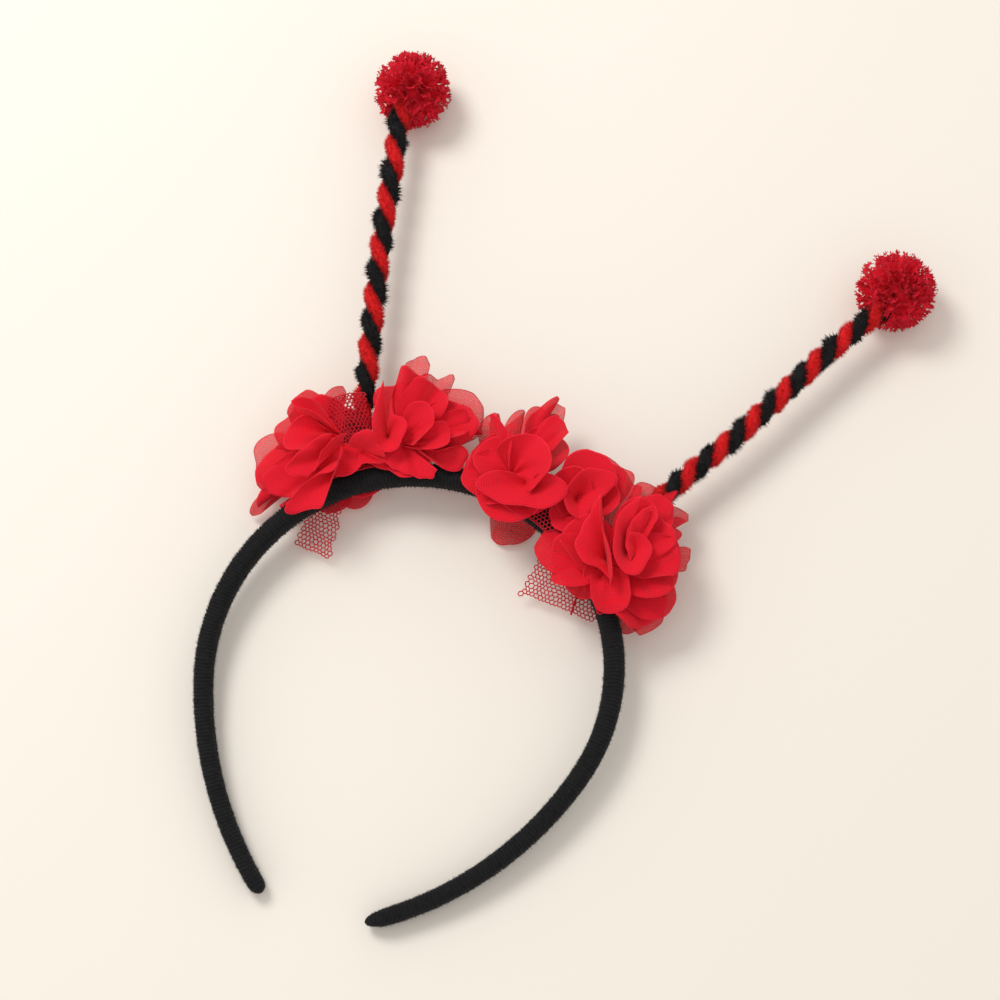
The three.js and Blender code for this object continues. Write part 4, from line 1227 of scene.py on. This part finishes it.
def puff_part(spec):
    """A loop of net that stands out from the band."""
    puff = spec["puff"]
    line = smooth_line([beside_band(puff["turn"], out, up) for out, up in puff["line"]], 60)
    run = np.concatenate(([0], np.cumsum(np.linalg.norm(np.diff(line, axis=0), axis=1))))
    aside = compass(-puff["turn"])
    flat, faces = hexagons(puff["width"], run[-1], lambda x, y: True)
    points = []
    for x, y in flat:
        spread = (x - puff["width"] / 2) * (1 - 0.35 * (2 * y / run[-1] - 1) ** 2)
        middle = np.array([np.interp(y, run, line[:, k]) for k in range(3)])
        arch = 0.06 * spread**2
        points.append(crumpled(middle + aside * spread - UP * arch, (x, y), spec["seed"]))
    return points, faces


def net_piece(name, spec):
    points, faces, width, length = wrap_part(spec)
    more, more_faces, flap = flap_part(spec)
    parts = [(points, faces), (more, more_faces)]
    if "puff" in spec:
        parts.append(puff_part(spec))
    places = []
    cells = []
    for points, faces in parts:
        cells += [[len(places) + corner for corner in face] for face in faces]
        places += list(points)
    mesh = bpy.data.meshes.new(name)
    mesh.from_pydata(to_frame(places).tolist(), [], cells)
    piece = bpy.data.objects.new(name, mesh)
    bpy.context.scene.collection.objects.link(piece)
    area = len(cells) * CELL * CELL * math.sqrt(3) / 2
    return piece, area, (width + CELL, max(length + flap, area / width) + CELL)


def strands(piece):
    apply_modifier(
        piece, "WIREFRAME", thickness=STRAND * MM, use_even_offset=False, use_replace=True, use_boundary=True,
    )
    shade_smooth(piece)


def loose_thread(name, spec):
    """A thread that lies over the flap."""
    points = [beside_band(turn, out, FLAP_UP + 0.1 * out) for turn, out in spec["thread"]]
    return rod(name, smooth_line(points, 12), THREAD_RADIUS)


# Floor and lights
FLOOR_SIZE = 6.0
FLOOR_COLOUR = (0.93, 0.86, 0.77, 1)
WORLD_STRENGTH = 0.72
KEY_POWER = 5.4
KEY_SIZE = 0.45
KEY_FROM_CROWN = (-560.0, 260.0, 900.0)


def make_floor():
    deselect_all()
    bpy.ops.mesh.primitive_plane_add(size=FLOOR_SIZE)
    floor = bpy.context.object
    floor.name = "floor"
    finish = Finish("floor", Roughness=0.9, Specular_IOR_Level=0.2)
    place = finish.add("ShaderNodeTexCoord").outputs["Object"]
    drift = finish.add("ShaderNodeTexNoise", Vector=place, Scale=3.0)
    darker = tuple(0.985 * c for c in FLOOR_COLOUR[:3]) + (1,)
    finish.feed("Base Color", mix_colours(finish.tree, drift.outputs["Fac"], darker, FLOOR_COLOUR))
    floor.data.materials.append(finish.material)


def make_lights():
    world = bpy.data.worlds.new("studio")
    world.use_nodes = True
    background = world.node_tree.nodes["Background"]
    background.inputs["Color"].default_value = (1.0, 0.99, 0.98, 1)
    background.inputs["Strength"].default_value = WORLD_STRENGTH
    bpy.context.scene.world = world
    data = bpy.data.lights.new("key", "AREA")
    data.shape = "DISK"
    data.size = KEY_SIZE
    data.energy = KEY_POWER
    key = bpy.data.objects.new("key", data)
    place = Vector(to_frame(KEY_FROM_CROWN))
    key.location = place
    key.rotation_euler = (Vector(to_frame((0, 0, 0))) - place).to_track_quat("-Z", "Y").to_euler()
    bpy.context.scene.collection.objects.link(key)
    bpy.context.scene.view_settings.view_transform = "Standard"


make_floor()
make_lights()

band = join("plush_band", [make_band(), band_pile()])
finish_piece(band, black_plush, "black_plush", "band")

for side, stalk in STALKS.items():
    red = make_stem(f"{side}_red_chenille", stalk, 0, 0.7)
    finish_piece(red, red_chenille, "red_chenille", f"{side}_stem_red")
    black = make_stem(f"{side}_black_chenille", stalk, 180, 1.6)
    finish_piece(black, black_chenille, "black_chenille", f"{side}_stem_black")
    ruffles, funnels = make_pompom(f"{side}_pompom", side)
    pompom = join(f"{side}_net_pompom", [ruffles, pompom_head(f"{side}_pompom")])
    finish_piece(pompom, pompom_net, "red_pompom_net", f"{side}_pompom")

for order, flower in enumerate(FLOWERS):
    piece, area = make_flower(flower, order)
    finish_piece(piece, chiffon, "red_chiffon", flower["name"])

for side, spec in NETS.items():
    piece, area, (width, length) = net_piece(f"{side}_tulle", spec)
    strands(piece)
    if "thread" in spec:
        piece = join(piece.name, [piece, loose_thread(f"{side}_thread", spec)])
    finish_piece(piece, tulle, "red_net", f"{side}_net")
